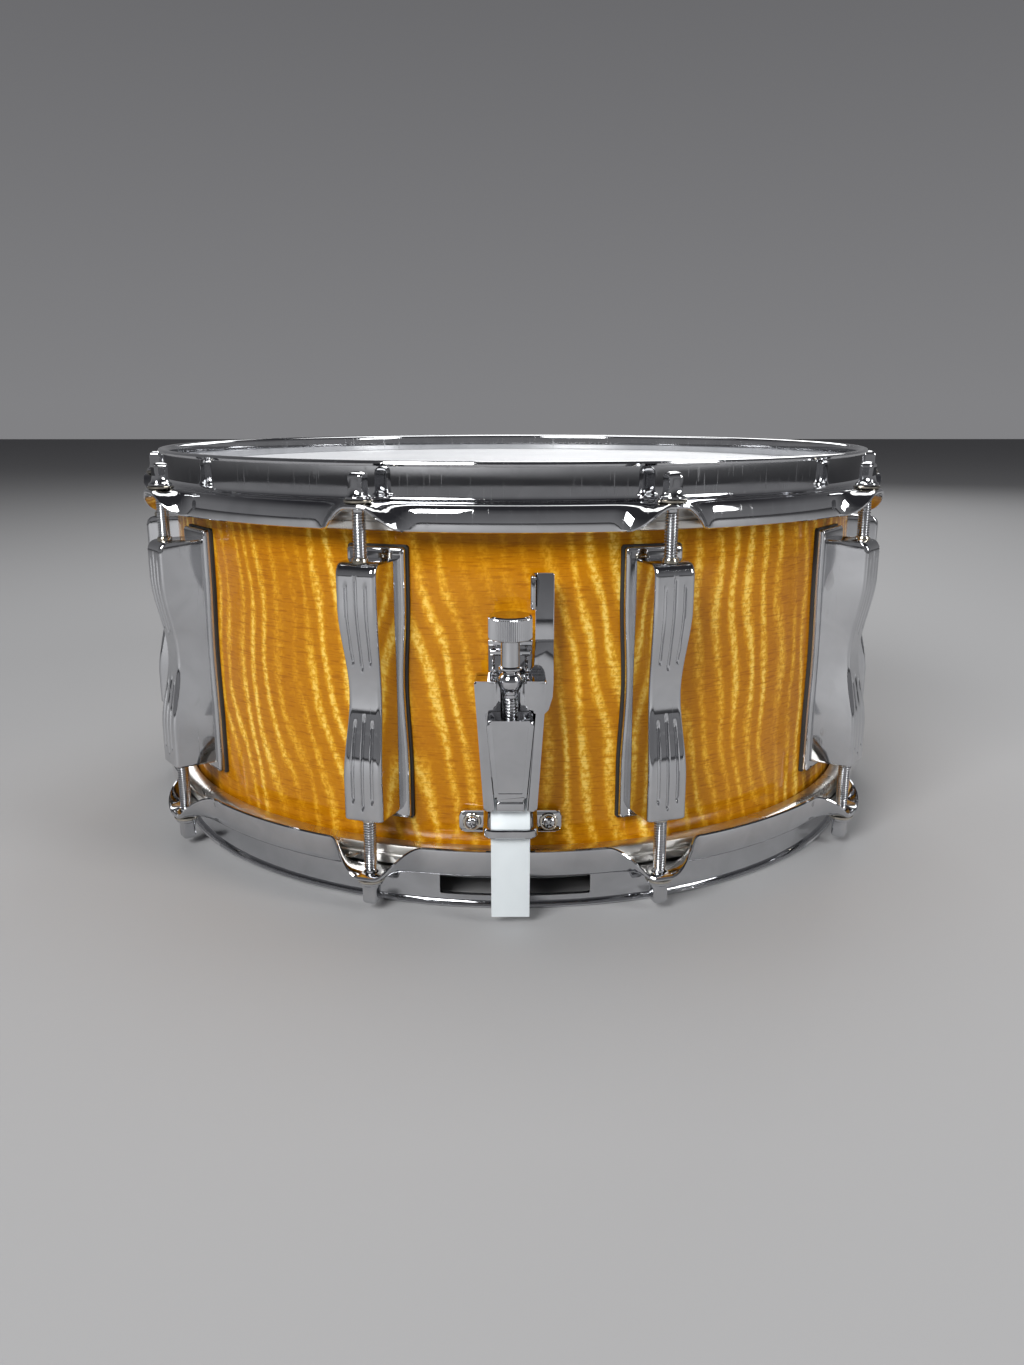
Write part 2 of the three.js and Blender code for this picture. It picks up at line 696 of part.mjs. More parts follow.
const BACK_STRAP = [
  [184.7, 50.5],
  [184.7, 39.5],
  [192.8, 30],
  [192.4, 15],
  [189, 11.6],
  [182, 9.4],
  [177, WIRE_Z - 0.2],
  [END_PLATE_OUTER + GAP, WIRE_Z - 0.2],
];
const backStrap = add("snare_strap_back", shape([strap(BACK_STRAP)]), WHITE_STRAP);
backStrap.rotation.z = Math.PI;

// Twenty coiled wires soldered to a plate at each end, lying under the snare head.
const WIRE_COUNT = 20;
const WIRE_PITCH = 3;
const WIRE_RADIUS = 0.95;
const PLATE_HALF = 30.5;
const END_PLATE_INNER = 148;
const WIRE_HALF_LENGTH = 158;

function snareWires() {
  const plates = [-1, 1].map((side) => {
    const plate = block(
      -PLATE_HALF,
      PLATE_HALF,
      END_PLATE_INNER,
      END_PLATE_OUTER,
      WIRE_Z - 0.7,
      WIRE_Z + 0.4,
    );
    return side > 0 ? plate : plate.rotateZ(Math.PI);
  });
  const wires = Array.from({ length: WIRE_COUNT }, (_, i) => {
    const x = (i - (WIRE_COUNT - 1) / 2) * WIRE_PITCH;
    return peg(WIRE_RADIUS, x, WIRE_Z, -WIRE_HALF_LENGTH, WIRE_HALF_LENGTH, 6);
  });
  return shape([...plates, ...wires]);
}
add("snare_wires", snareWires(), SNARE_STEEL);

// ---------------------------------------------------------------- butt

// The fixed end of the snares, opposite the strainer: a cast base, and a clamp bar held by two
// screws with the strap between them.
const butt = new THREE.Group();
butt.rotation.z = Math.PI;
drum.add(butt);

const BUTT_HALF = 14.5;
const BUTT_LOW = 38;
const BUTT_TOP = 62;
const BUTT_FACE = 184;
const CLAMP_BACK = BUTT_FACE + 1.4;
const CLAMP_FRONT = 190;
const CLAMP_SCREW_X = 10.8;
const CLAMP_SCREW_Z = 46;
const CLAMP_LOW = 41;
const CLAMP_TOP = 51.5;
const MOUNT_SCREW_X = 8;
const MOUNT_SCREW_Z = 57;

function buttBase() {
  const body = block(-BUTT_HALF, BUTT_HALF, BASE_BACK, BUTT_FACE, BUTT_LOW, BUTT_TOP);
  const holes = [-1, 1].flatMap((side) => [
    peg(SCREW_HOLE, side * CLAMP_SCREW_X, CLAMP_SCREW_Z, BUTT_FACE - 3, BUTT_FACE + 1, 8),
    peg(SCREW_HOLE, side * MOUNT_SCREW_X, MOUNT_SCREW_Z, BASE_BACK - 1, BUTT_FACE + 1, 8),
  ]);
  return shape([body], holes);
}
add("butt_base", buttBase(), CHROME, butt);

const clampHoles = [-1, 1].map((side) =>
  peg(SCREW_HOLE, side * CLAMP_SCREW_X, CLAMP_SCREW_Z, CLAMP_BACK - 1, CLAMP_FRONT + 1, 8),
);
const clampBar = block(-BUTT_HALF, BUTT_HALF, CLAMP_BACK, CLAMP_FRONT, CLAMP_LOW, CLAMP_TOP);
add("butt_clamp", shape([clampBar], clampHoles), CHROME, butt);

for (const [name, side] of SIDES) {
  const clampX = side * CLAMP_SCREW_X;
  const clampScrew = screw(clampX, CLAMP_SCREW_Z, CLAMP_FRONT + GAP, 4.2, 13.2, 8);
  add(`butt_clamp_screw_${name}`, clampScrew, CHROME, butt);
  const mountX = side * MOUNT_SCREW_X;
  const mountScrew = screw(mountX, MOUNT_SCREW_Z, BUTT_FACE + GAP, 3.4, SCREW_RISE, 5);
  add(`butt_mount_screw_${name}`, mountScrew, CHROME, butt);
}

// ---------------------------------------------------------------- vent and badge

// A blank oval badge, held flat to the shell by the flange of the air vent's grommet.
const BADGE_INNER = SHELL_RADIUS + GAP;
const BADGE_OUTER = BADGE_INNER + 0.7;
const BADGE_HALF_WIDTH = 19;
const BADGE_HALF_HEIGHT = 25;

function badge() {
  const outline = new THREE.Shape();
  outline.absellipse(0, MID_HEIGHT, BADGE_HALF_WIDTH, BADGE_HALF_HEIGHT, 0, Math.PI * 2);
  const slab = new THREE.ExtrudeGeometry(outline, {
    depth: 12,
    bevelEnabled: false,
    curveSegments: 12,
  });
  slab.rotateX(Math.PI / 2).translate(0, -SHELL_RADIUS + 6, 0);
  const outer = new THREE.CylinderGeometry(BADGE_OUTER, BADGE_OUTER, 100, 120);
  const inner = new THREE.CylinderGeometry(BADGE_INNER, BADGE_INNER, 120, 120);
  for (const cylinder of [outer, inner]) cylinder.rotateX(Math.PI / 2).translate(0, 0, MID_HEIGHT);
  const hole = peg(VENT_HOLE, 0, MID_HEIGHT, SHELL_INNER - 5, SHELL_RADIUS + 8);
  return geometryOf(solid(slab).intersect(solid(outer)).subtract(solid(inner)).subtract(solid(hole)));
}
add("badge", badge(), ALUMINIUM).rotation.z = VENT_TURN;

const grommet = shape(
  [
    peg(VENT_HOLE - GAP, 0, MID_HEIGHT, SHELL_INNER - 1, BADGE_OUTER + 1.4, 16),
    peg(9, 0, MID_HEIGHT, BADGE_OUTER + GAP, BADGE_OUTER + 1.6, 16),
  ],
  [peg(4.6, 0, MID_HEIGHT, SHELL_INNER - 3, BADGE_OUTER + 4)],
);
add("vent_grommet", grommet, CHROME).rotation.z = VENT_TURN;

export default drum;
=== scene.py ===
"""A 14 x 6.5 inch snare drum: curly maple shell, ten double-ended lugs, triple-flanged steel hoops.

The script follows the drum as it is put together: shell, heads, hoops, lugs, rods, strainer, butt
and snares. Sizes inside the sections are in millimetres. A piece on the shell is drawn at the front,
where a point at radius n is (x, -n, z), and is then turned about the drum's axis.
"""

import json
import math

import bmesh
import bpy
from mathutils import Matrix, Vector
from mathutils.geometry import tessellate_polygon


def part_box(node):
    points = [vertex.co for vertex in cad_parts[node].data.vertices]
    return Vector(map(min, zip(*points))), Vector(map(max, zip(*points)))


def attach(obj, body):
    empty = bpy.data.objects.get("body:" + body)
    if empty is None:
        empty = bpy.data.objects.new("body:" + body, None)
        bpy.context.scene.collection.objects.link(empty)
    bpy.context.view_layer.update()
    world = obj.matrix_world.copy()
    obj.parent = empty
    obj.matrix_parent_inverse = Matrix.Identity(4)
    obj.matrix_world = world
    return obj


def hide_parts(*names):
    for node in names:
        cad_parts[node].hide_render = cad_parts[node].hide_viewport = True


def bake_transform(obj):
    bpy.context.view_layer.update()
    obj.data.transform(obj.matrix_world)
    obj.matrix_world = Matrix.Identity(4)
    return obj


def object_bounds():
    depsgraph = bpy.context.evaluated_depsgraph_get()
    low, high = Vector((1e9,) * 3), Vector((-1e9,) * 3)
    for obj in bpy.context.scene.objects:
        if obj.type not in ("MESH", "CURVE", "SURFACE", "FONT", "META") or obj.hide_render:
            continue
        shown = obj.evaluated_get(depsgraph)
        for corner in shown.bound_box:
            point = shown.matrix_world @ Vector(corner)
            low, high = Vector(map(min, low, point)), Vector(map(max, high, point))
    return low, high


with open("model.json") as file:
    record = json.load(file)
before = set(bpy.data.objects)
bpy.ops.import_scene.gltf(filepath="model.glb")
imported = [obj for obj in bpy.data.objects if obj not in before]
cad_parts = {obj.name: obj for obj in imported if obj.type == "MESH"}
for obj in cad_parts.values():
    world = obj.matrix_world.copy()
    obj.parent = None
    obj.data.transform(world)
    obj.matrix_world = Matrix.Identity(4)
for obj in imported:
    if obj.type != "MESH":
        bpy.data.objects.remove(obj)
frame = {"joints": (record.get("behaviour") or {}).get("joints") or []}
cad_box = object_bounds()

# ------------------------------------------------------------------------------ camera
# A phone camera a little above the drum, 0.6 m in front of its axis, tipped down by about 14
# degrees.

camera_data = bpy.data.cameras.new("camera")
camera_data.sensor_width = 36.0
camera_data.lens = 28.55
camera_data.clip_start = 0.01
camera = bpy.data.objects.new("camera", camera_data)
camera.location = (-0.0032, -0.6048, 0.2074)
camera.rotation_euler = (math.radians(90 - 14.47), 0.0, math.radians(-0.26))
bpy.context.scene.collection.objects.link(camera)
bpy.context.scene.camera = camera

# ------------------------------------------------------------------------------ studio
# A plain pale floor under soft light: a large panel overhead, a key panel at the left, a smaller
# fill at the right and a dim grey room around them.

STUDIO_PANELS = [
    # place, width, depth, watts
    ((0.0, 0.45, 1.6), 1.5, 0.9, 12.0),
    ((-0.9, -1.7, 1.3), 0.9, 0.9, 44.0),
    ((1.6, -1.0, 0.9), 0.5, 0.9, 15.0),
    ((0.5, 1.9, 1.1), 1.2, 0.7, 11.0),
]

floor_mesh = bpy.data.meshes.new("floor")
floor_mesh.from_pydata([(-6, -6, 0), (6, -6, 0), (6, 6, 0), (-6, 6, 0)], [], [(0, 1, 2, 3)])
floor = bpy.data.objects.new("floor", floor_mesh)
floor_paint = bpy.data.materials.new("floor_paper")
floor_paint.use_nodes = True
paper = floor_paint.node_tree.nodes["Principled BSDF"]
paper.inputs["Base Color"].default_value = (0.38, 0.38, 0.385, 1)
paper.inputs["Roughness"].default_value = 0.75
floor_mesh.materials.append(floor_paint)
bpy.context.scene.collection.objects.link(floor)
bpy.context.scene.view_settings.view_transform = "Standard"

for i, (place, width, depth, watts) in enumerate(STUDIO_PANELS):
    panel = bpy.data.lights.new(f"panel_{i + 1}", "AREA")
    panel.shape = "RECTANGLE"
    panel.size = width
    panel.size_y = depth
    panel.energy = watts
    panel_object = bpy.data.objects.new(f"panel_{i + 1}", panel)
    panel_object.location = place
    aim = Vector((0, 0, 0.09)) - Vector(place)
    panel_object.rotation_euler = aim.to_track_quat("-Z", "Y").to_euler()
    bpy.context.scene.collection.objects.link(panel_object)

world = bpy.data.worlds.new("studio")
bpy.context.scene.world = world
world.use_nodes = True
air = world.node_tree
sky_place = air.nodes.new("ShaderNodeTexCoord")
sky_height = air.nodes.new("ShaderNodeSeparateXYZ")
sky_ramp = air.nodes.new("ShaderNodeValToRGB")
sky_ramp.color_ramp.elements[0].position = 0.0
sky_ramp.color_ramp.elements[0].color = (0.22, 0.22, 0.228, 1)
sky_ramp.color_ramp.elements[1].position = 0.75
sky_ramp.color_ramp.elements[1].color = (0.035, 0.035, 0.04, 1)
air.links.new(sky_place.outputs["Generated"], sky_height.inputs[0])
air.links.new(sky_height.outputs["Z"], sky_ramp.inputs["Fac"])
air.links.new(sky_ramp.outputs["Color"], air.nodes["Background"].inputs["Color"])

# ------------------------------------------------------------------------------ shell
# A cylinder of maple plies with an outer ply of curly figure, stained amber under gloss lacquer.
# Each edge is cut at 45 degrees inside and rounded over outside, to carry a head, and the lower
# edge dips at the strainer and the butt so that the snares lie flat.

MM = 0.001
DRUM_HEIGHT = cad_box[1].z / MM
MIDDLE = DRUM_HEIGHT / 2
SHELL_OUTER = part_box("shell")[1].x / MM
SHELL_INNER = SHELL_OUTER - 7.5
SHELL_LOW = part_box("shell")[0].z / MM
SHELL_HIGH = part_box("shell")[1].z / MM
ROUND_OVER = 2.5
BED_DEPTH = 1.0
VENT_TURN = 108.0
VENT_RADIUS = 6.5


def turned(profile, steps, shift=None):
    """Closed [radius, z] points turned about the drum's axis, as points and faces."""
    points, faces = [], []
    count = len(profile)
    for i in range(steps):
        angle = 2 * math.pi * i / steps
        for radius, z in profile:
            lift = shift(angle, z) if shift else 0.0
            points.append((radius * math.sin(angle), -radius * math.cos(angle), z + lift))
    for i in range(steps):
        here, there = i * count, (i + 1) % steps * count
        for j in range(count):
            k = (j + 1) % count
            faces.append((here + j, there + j, there + k, here + k))
    return points, faces


def spindle(profile, steps):
    """[radius, height] points, from axis to axis, turned about their own upright axis."""
    points, faces = [], []
    rows = []
    for radius, height in profile:
        if radius < 1e-6:
            rows.append([len(points)])
            points.append((0.0, 0.0, height))
            continue
        rows.append(list(range(len(points), len(points) + steps)))
        for i in range(steps):
            angle = 2 * math.pi * i / steps
            points.append((radius * math.cos(angle), radius * math.sin(angle), height))
    for low, high in zip(rows, rows[1:]):
        for i in range(steps):
            k = (i + 1) % steps
            ring = [low[i % len(low)], low[k % len(low)], high[k % len(high)], high[i % len(high)]]
            ring = list(dict.fromkeys(ring))
            if len(ring) > 2:
                faces.append(tuple(ring))
    return points, faces


def moved(shape, matrix):
    """A shape carried to another place by a matrix."""
    points, faces = shape
    return [tuple(matrix @ Vector(p)) for p in points], faces


def joined(*shapes):
    """Several shapes as one."""
    points, faces = [], []
    for more_points, more_faces in shapes:
        start = len(points)
        points += more_points
        faces += [tuple(start + k for k in face) for face in more_faces]
    return points, faces


def outward(x, n, z):
    """The matrix that stands an upright shape on the shell, its top pointing out, at (x, n, z)."""
    return Matrix.Translation((x, -n, z)) @ Matrix.Rotation(math.radians(90), 4, "X")


def about_axis(degrees):
    """The turn about the drum's axis."""
    return Matrix.Rotation(math.radians(degrees), 4, "Z")


def mesh_of(name, shape):
    """A mesh in metres, its faces turned outwards."""
    mesh = bpy.data.meshes.new(name)
    mesh.from_pydata([tuple(c * MM for c in p) for p in shape[0]], [], shape[1])
    bm = bmesh.new()
    bm.from_mesh(mesh)
    bmesh.ops.remove_doubles(bm, verts=bm.verts, dist=1e-7)
    bmesh.ops.recalc_face_normals(bm, faces=bm.faces)
    bm.to_mesh(mesh)
    bm.free()
    return mesh


def carved(shape, *tools):
    """A closed shape with tools cut out of it."""
    blank, *knives = [bpy.data.objects.new("cut", mesh_of("cut", s)) for s in (shape, *tools)]
    for item in (blank, *knives):
        bpy.context.scene.collection.objects.link(item)
    for knife in knives:
        work = blank.modifiers.new("cut", "BOOLEAN")
        work.operation = "DIFFERENCE"
        work.solver = "EXACT"
        work.object = knife
    cut = blank.evaluated_get(bpy.context.evaluated_depsgraph_get()).to_mesh()
    points = [tuple(v.co / MM) for v in cut.vertices]
    faces = [tuple(f.vertices) for f in cut.polygons]
    for item in (blank, *knives):
        bpy.data.objects.remove(item)
    return points, faces


def make(name, shape, finish, body="drum", nodes=(), turn=0.0, crease=32.0):
    """Makes a named piece, in its finish, and gives it to a body of the frame."""
    mesh = shape if isinstance(shape, bpy.types.Mesh) else mesh_of(name, shape)
    piece = bpy.data.objects.new(name, mesh)
    bpy.context.scene.collection.objects.link(piece)
    if not mesh.materials:
        mesh.materials.append(finish)
        mesh.shade_smooth()
        mesh.set_sharp_from_angle(angle=math.radians(crease))
    piece.rotation_euler.z = math.radians(turn)
    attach(piece, body)
    if nodes:
        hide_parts(*nodes)
    return piece


def finish_of(name, colour, roughness, metallic=0.0):
    """A new material with its principled shader, and the place on the piece it starts from."""
    material = bpy.data.materials.new(name)
    material.use_nodes = True
    tree = material.node_tree
    shader = tree.nodes["Principled BSDF"]
    shader.inputs["Base Color"].default_value = (*colour, 1)
    shader.inputs["Roughness"].default_value = roughness
    shader.inputs["Metallic"].default_value = metallic
    place = tree.nodes.new("ShaderNodeTexCoord")
    return material, tree, shader, place.outputs["Object"]


def node(tree, kind, values=(), **settings):
    """A node with its settings and its input values by index or name."""
    made = tree.nodes.new(kind)
    for key, value in settings.items():
        setattr(made, key, value)
    for key, value in dict(values).items():
        made.inputs[key].default_value = value
    return made


def sums(tree, operation, a, b=None, c=None):
    """A math node's output for one to three numbers or sockets."""
    made = tree.nodes.new("ShaderNodeMath")
    made.operation = operation
    for i, value in enumerate((a, b, c)):
        if isinstance(value, bpy.types.NodeSocket):
            tree.links.new(value, made.inputs[i])
        elif value is not None:
            made.inputs[i].default_value = value
    return made.outputs[0]


def speckle(tree, place, scale, stretch=(1, 1, 1), detail=2.0, roughness=0.5, warp=0.0):
    """Noise over a place, stretched by axis, as a value from 0 to 1."""
    mapping = node(tree, "ShaderNodeMapping", {"Scale": stretch})
    noise = node(
        tree,
        "ShaderNodeTexNoise",
        {"Scale": scale, "Detail": detail, "Roughness": roughness, "Distortion": warp},
    )
    tree.links.new(place, mapping.inputs["Vector"])
    tree.links.new(mapping.outputs["Vector"], noise.inputs["Vector"])
    return noise.outputs["Fac"]


def ramp(tree, value, stops):
    """A colour ramp's output over a value, from (position, colour) stops."""
    made = tree.nodes.new("ShaderNodeValToRGB")
    elements = made.color_ramp.elements
    while len(elements) < len(stops):
        elements.new(0.5)
    for element, (position, colour) in zip(elements, stops):
        element.position = position
        element.color = (*colour, 1) if len(colour) == 3 else colour
    tree.links.new(value, made.inputs["Fac"])
    return made.outputs["Color"]


def grey(level):
    """A grey colour."""
    return (level, level, level)


def mixed(tree, share, a, b, blend="MIX"):
    """The colour between a and b by a share, each a colour or a socket."""
    made = node(tree, "ShaderNodeMix", data_type="RGBA", blend_type=blend)
    for socket, value in ((made.inputs[0], share), (made.inputs[6], a), (made.inputs[7], b)):
        if isinstance(value, bpy.types.NodeSocket):
            tree.links.new(value, socket)
        elif isinstance(value, tuple):
            socket.default_value = (*value, 1)
        else:
            socket.default_value = value
    return made.outputs[2]


def bumped(tree, shader, height, strength, distance):
    """Raises a shader's surface by a height."""
    bump = node(tree, "ShaderNodeBump", {"Strength": strength, "Distance": distance})
    tree.links.new(height, bump.inputs["Height"])
    tree.links.new(bump.outputs["Normal"], shader.inputs["Normal"])


RIPPLES = 118  # round the whole shell
RIPPLE_LEAN = 0.9  # radians round the shell for each metre up


def curly_maple():
    """Amber curly maple: fine level grain, crossed by bright ripples that lean a little."""
    material, tree, shader, place = finish_of("curly_maple", (0.5, 0.2, 0.02), 0.38)
    link = tree.links.new
    split = node(tree, "ShaderNodeSeparateXYZ")
    link(place, split.inputs[0])
    height = split.outputs["Z"]
    # The ripples are counted round the shell. They lean with height and wander with noise.
    across = sums(tree, "MULTIPLY", split.outputs["Y"], -1.0)
    around = sums(tree, "ARCTAN2", split.outputs["X"], across)
    slow = speckle(tree, place, 9.0, (1, 1, 1.1), 1.0)
    quick = speckle(tree, place, 60.0, (1, 1, 0.30), 1.0)
    leaning = sums(tree, "MULTIPLY_ADD", height, RIPPLE_LEAN, around)
    drifting = sums(tree, "MULTIPLY_ADD", slow, 0.22, leaning)
    swaying = sums(tree, "MULTIPLY_ADD", quick, 0.075, drifting)
    wave = sums(tree, "SINE", sums(tree, "MULTIPLY", swaying, RIPPLES))
    crest = sums(tree, "POWER", sums(tree, "MULTIPLY_ADD", wave, 0.5, 0.5), 2.0)
    # Each ripple is strong in some places and faint in others, and the grain that crosses it
    # breaks it into short level strokes and a fine stipple.
    patch = speckle(tree, place, 30.0, (1, 1, 0.45), 1.0)
    strength = ramp(tree, patch, [(0.34, grey(0.2)), (0.60, grey(1.0))])
    grain = speckle(tree, place, 34.0, (1.5, 1.5, 34.0), 3.0, 0.6)
    pores = speckle(tree, place, 70.0, (1.8, 1.8, 20.0), 2.0, 0.5)
    stipple = speckle(tree, place, 560.0, (1, 1, 0.9), 2.0, 0.6)
    sparkle = ramp(tree, stipple, [(0.38, grey(0.45)), (0.60, grey(1.0))])
    shine = sums(tree, "MULTIPLY", sums(tree, "MULTIPLY", crest, strength), sparkle)
    strokes = sums(tree, "MULTIPLY_ADD", sums(tree, "SUBTRACT", grain, 0.5), 0.35, shine)
    broken = sums(tree, "MULTIPLY_ADD", sums(tree, "SUBTRACT", stipple, 0.5), 0.30, strokes)
    figure = ramp(
        tree,
        broken,
        [
            (0.0, (0.50, 0.190, 0.002)),
            (0.20, (0.62, 0.270, 0.006)),
            (0.50, (0.80, 0.430, 0.030)),
            (0.85, (0.98, 0.66, 0.130)),
        ],
    )
    cloud = speckle(tree, place, 9.0, (1, 1, 1.6), 2.0)
    tone = ramp(tree, cloud, [(0.35, (0.90, 0.85, 0.72)), (0.65, (1.0, 1.0, 1.0))])
    toned = mixed(tree, 0.9, figure, tone, "MULTIPLY")
    fleck = ramp(tree, pores, [(0.33, (0.72, 0.62, 0.50)), (0.46, (1, 1, 1))])
    stained = mixed(tree, 0.8, toned, fleck, "MULTIPLY")
    # Inside the shell and on its edges the maple is sealed but has no stain.
    radius = node(tree, "ShaderNodeVectorMath", operation="LENGTH")
    level = node(tree, "ShaderNodeCombineXYZ")
    link(split.outputs["X"], level.inputs["X"])
    link(split.outputs["Y"], level.inputs["Y"])
    link(level.outputs[0], radius.inputs[0])
    stain_edge = (SHELL_OUTER - 0.6) * MM
    outside = sums(tree, "GREATER_THAN", radius.outputs["Value"], stain_edge)
    raw_grain = speckle(tree, place, 22.0, (1.2, 1.2, 26.0), 3.0, 0.6)
    raw = ramp(tree, raw_grain, [(0.3, (0.50, 0.33, 0.17)), (0.7, (0.68, 0.50, 0.29))])
    link(mixed(tree, outside, raw, stained), shader.inputs["Base Color"])
    gloss = ramp(tree, grain, [(0.3, grey(0.46)), (0.7, grey(0.34))])
    link(gloss, shader.inputs["Roughness"])
    lacquer = ramp(tree, outside, [(0.0, grey(0.15)), (1.0, grey(0.8))])
    link(lacquer, shader.inputs["Coat Weight"])
    shader.inputs["Specular IOR Level"].default_value = 0.05
    shader.inputs["Coat Roughness"].default_value = 0.045
    shader.inputs["Coat IOR"].default_value = 1.36
    bumped(tree, shader, grain, 0.12, 0.0002)
    return material


def bed_lift(angle, z):
    """How far the lower edge is cut away under the snares."""
    if z > MIDDLE:
        return 0.0
    along_y = abs(math.cos(angle))
    return BED_DEPTH * max(0.0, (along_y - math.cos(math.radians(14))) / 0.03) ** 0.5 if (
        along_y > math.cos(math.radians(14)) and z < SHELL_LOW + 6
    ) else 0.0


def shell_profile():
    """The shell's section, from the inside of the lower edge round to the inside of the upper."""
    low, high = SHELL_LOW, SHELL_HIGH
    outer = [
        (SHELL_OUTER - ROUND_OVER + ROUND_OVER * math.sin(a), ROUND_OVER * (1 - math.cos(a)))
        for a in [math.radians(15 * i) for i in range(7)]
    ]
    rise = SHELL_OUTER - ROUND_OVER - SHELL_INNER
    lower = [(SHELL_INNER, low + rise), (SHELL_OUTER - ROUND_OVER - 0.4, low + 0.15)]
    lower += [(r, low + up) for r, up in outer]
    upper = [(r, high - (z - low)) for r, z in reversed(lower)]
    return lower + upper


maple = curly_maple()
vent_bore = moved(
    spindle([(0, -12), (VENT_RADIUS, -12), (VENT_RADIUS, 12), (0, 12)], 40),
    about_axis(VENT_TURN) @ outward(0, SHELL_OUTER - 3, MIDDLE),
)
make(
    "maple_shell",
    carved(turned(shell_profile(), 288, bed_lift), vent_bore),
    maple,
    nodes=["shell"],
)

# ------------------------------------------------------------------------------ vent and badge
# A pressed grommet lines the air hole in the side of the shell, and its flange holds a plain
# curved metal badge against the lacquer. The badge is left blank.


def fine_marks():
    """A group that puts out soft smudges, hairline marks and a fine pitting over a surface."""
    group = bpy.data.node_groups.new("fine_marks", "ShaderNodeTree")
    group.interface.new_socket("Place", in_out="INPUT", socket_type="NodeSocketVector")
    size = group.interface.new_socket("Size", in_out="INPUT", socket_type="NodeSocketFloat")
    size.default_value = 1.0
    for word in ("Smudge", "Hairline", "Pitting"):
        group.interface.new_socket(word, in_out="OUTPUT", socket_type="NodeSocketFloat")
    start = group.nodes.new("NodeGroupInput")
    end = group.nodes.new("NodeGroupOutput")
    sized = node(group, "ShaderNodeVectorMath", operation="SCALE")
    group.links.new(start.outputs["Place"], sized.inputs[0])
    group.links.new(start.outputs["Size"], sized.inputs["Scale"])
    place = sized.outputs["Vector"]
    smudge = speckle(group, place, 55.0, (1, 1, 1), 3.0, 0.55, 0.6)
    lines = []
    for lean, stretch in (((0.5, 0.2, 0.9), (60, 1.5, 2)), ((0.1, 0.8, -0.6), (2, 55, 1.5))):
        mapping = node(group, "ShaderNodeMapping", {"Rotation": lean, "Scale": stretch})
        noise = node(group, "ShaderNodeTexNoise", {"Scale": 30.0, "Detail": 1.0})
        group.links.new(place, mapping.inputs["Vector"])
        group.links.new(mapping.outputs["Vector"], noise.inputs["Vector"])
        lines.append(sums(group, "GREATER_THAN", noise.outputs["Fac"], 0.71))
    hairline = sums(group, "MAXIMUM", lines[0], lines[1])
    pitting = speckle(group, place, 900.0, (1, 1, 1), 2.0)
    group.links.new(smudge, end.inputs["Smudge"])
    group.links.new(hairline, end.inputs["Hairline"])
    group.links.new(pitting, end.inputs["Pitting"])
    return group


MARKS = fine_marks()


def marked(tree, place, size):
    """The fine marks of a surface: smudge, hairline and pitting sockets."""
    made = node(tree, "ShaderNodeGroup", node_tree=MARKS)
    made.inputs["Size"].default_value = size
    tree.links.new(place, made.inputs["Place"])
    return made.outputs["Smudge"], made.outputs["Hairline"], made.outputs["Pitting"]


def plated_metal(name, bright, dull, gloss, size=1.0):
    """A plated or polished metal: colours where clean and where dull, and its least roughness."""
    material, tree, shader, place = finish_of(name, bright, gloss, 1.0)
    smudge, hairline, pitting = marked(tree, place, size)
    colour = ramp(tree, smudge, [(0.35, bright), (0.75, dull)])
    tree.links.new(colour, shader.inputs["Base Color"])
    soft = ramp(tree, smudge, [(0.35, grey(gloss)), (0.8, grey(gloss * 1.9 + 0.02))])
    rough = mixed(tree, hairline, soft, grey(gloss + 0.12))
    tree.links.new(rough, shader.inputs["Roughness"])
    height = sums(tree, "MULTIPLY_ADD", hairline, -0.6, sums(tree, "MULTIPLY", pitting, 0.25))
    bumped(tree, shader, height, 0.06, 0.00005)
    return material


def soft_plastic(name, light, dark, roughness, grain_scale, depth):
    """A moulded or rolled plastic with a fine surface grain."""
    material, tree, shader, place = finish_of(name, light, roughness)
    smudge, hairline, _ = marked(tree, place, 0.6)
    colour = ramp(tree, smudge, [(0.3, light), (0.75, dark)])
    tree.links.new(colour, shader.inputs["Base Color"])
    rough = ramp(tree, smudge, [(0.3, grey(roughness)), (0.8, grey(roughness + 0.12))])
    tree.links.new(mixed(tree, hairline, rough, grey(roughness + 0.2)), shader.inputs["Roughness"])
    grain = speckle(tree, place, grain_scale, (1, 1, 1), 2.0)
    bumped(tree, shader, grain, 0.25, depth)
    return material


chrome = plated_metal("chrome_plate", (0.60, 0.605, 0.62), (0.51, 0.515, 0.53), 0.035)
satin_alloy = plated_metal("satin_alloy", (0.72, 0.70, 0.66), (0.60, 0.585, 0.55), 0.24)

BADGE_LOW = SHELL_OUTER + 0.3
BADGE_HIGH = BADGE_LOW + 0.7


def curved_badge():
    """An oval plate bent to the shell, with a raised rim and a hole for the grommet."""
    rings = [(1.0, 0.0), (1.0, 0.55), (0.97, 0.7), (0.9, 0.7), (0.87, 0.5), (0.45, 0.5), (0.45, 0.0)]
    points, faces = [], []
    steps = 72
    for share, rise in rings:
        for i in range(steps):
            angle = 2 * math.pi * i / steps
            across, up = 19 * math.cos(angle), 25 * math.sin(angle)
            if share < 0.5:
                across, up = 6.9 * math.cos(angle), 6.9 * math.sin(angle)
            bend = share * across / BADGE_LOW if share > 0.5 else across / BADGE_LOW
            up = share * up if share > 0.5 else up
            radius = BADGE_LOW + rise
            points.append((radius * math.sin(bend), -radius * math.cos(bend), MIDDLE + up))
    for row in range(len(rings)):
        here, there = row * steps, (row + 1) % len(rings) * steps
        for i in range(steps):
            k = (i + 1) % steps
            faces.append((here + i, here + k, there + k, there + i))
    return points, faces


make("blank_badge", curved_badge(), satin_alloy, nodes=["badge"], turn=VENT_TURN)

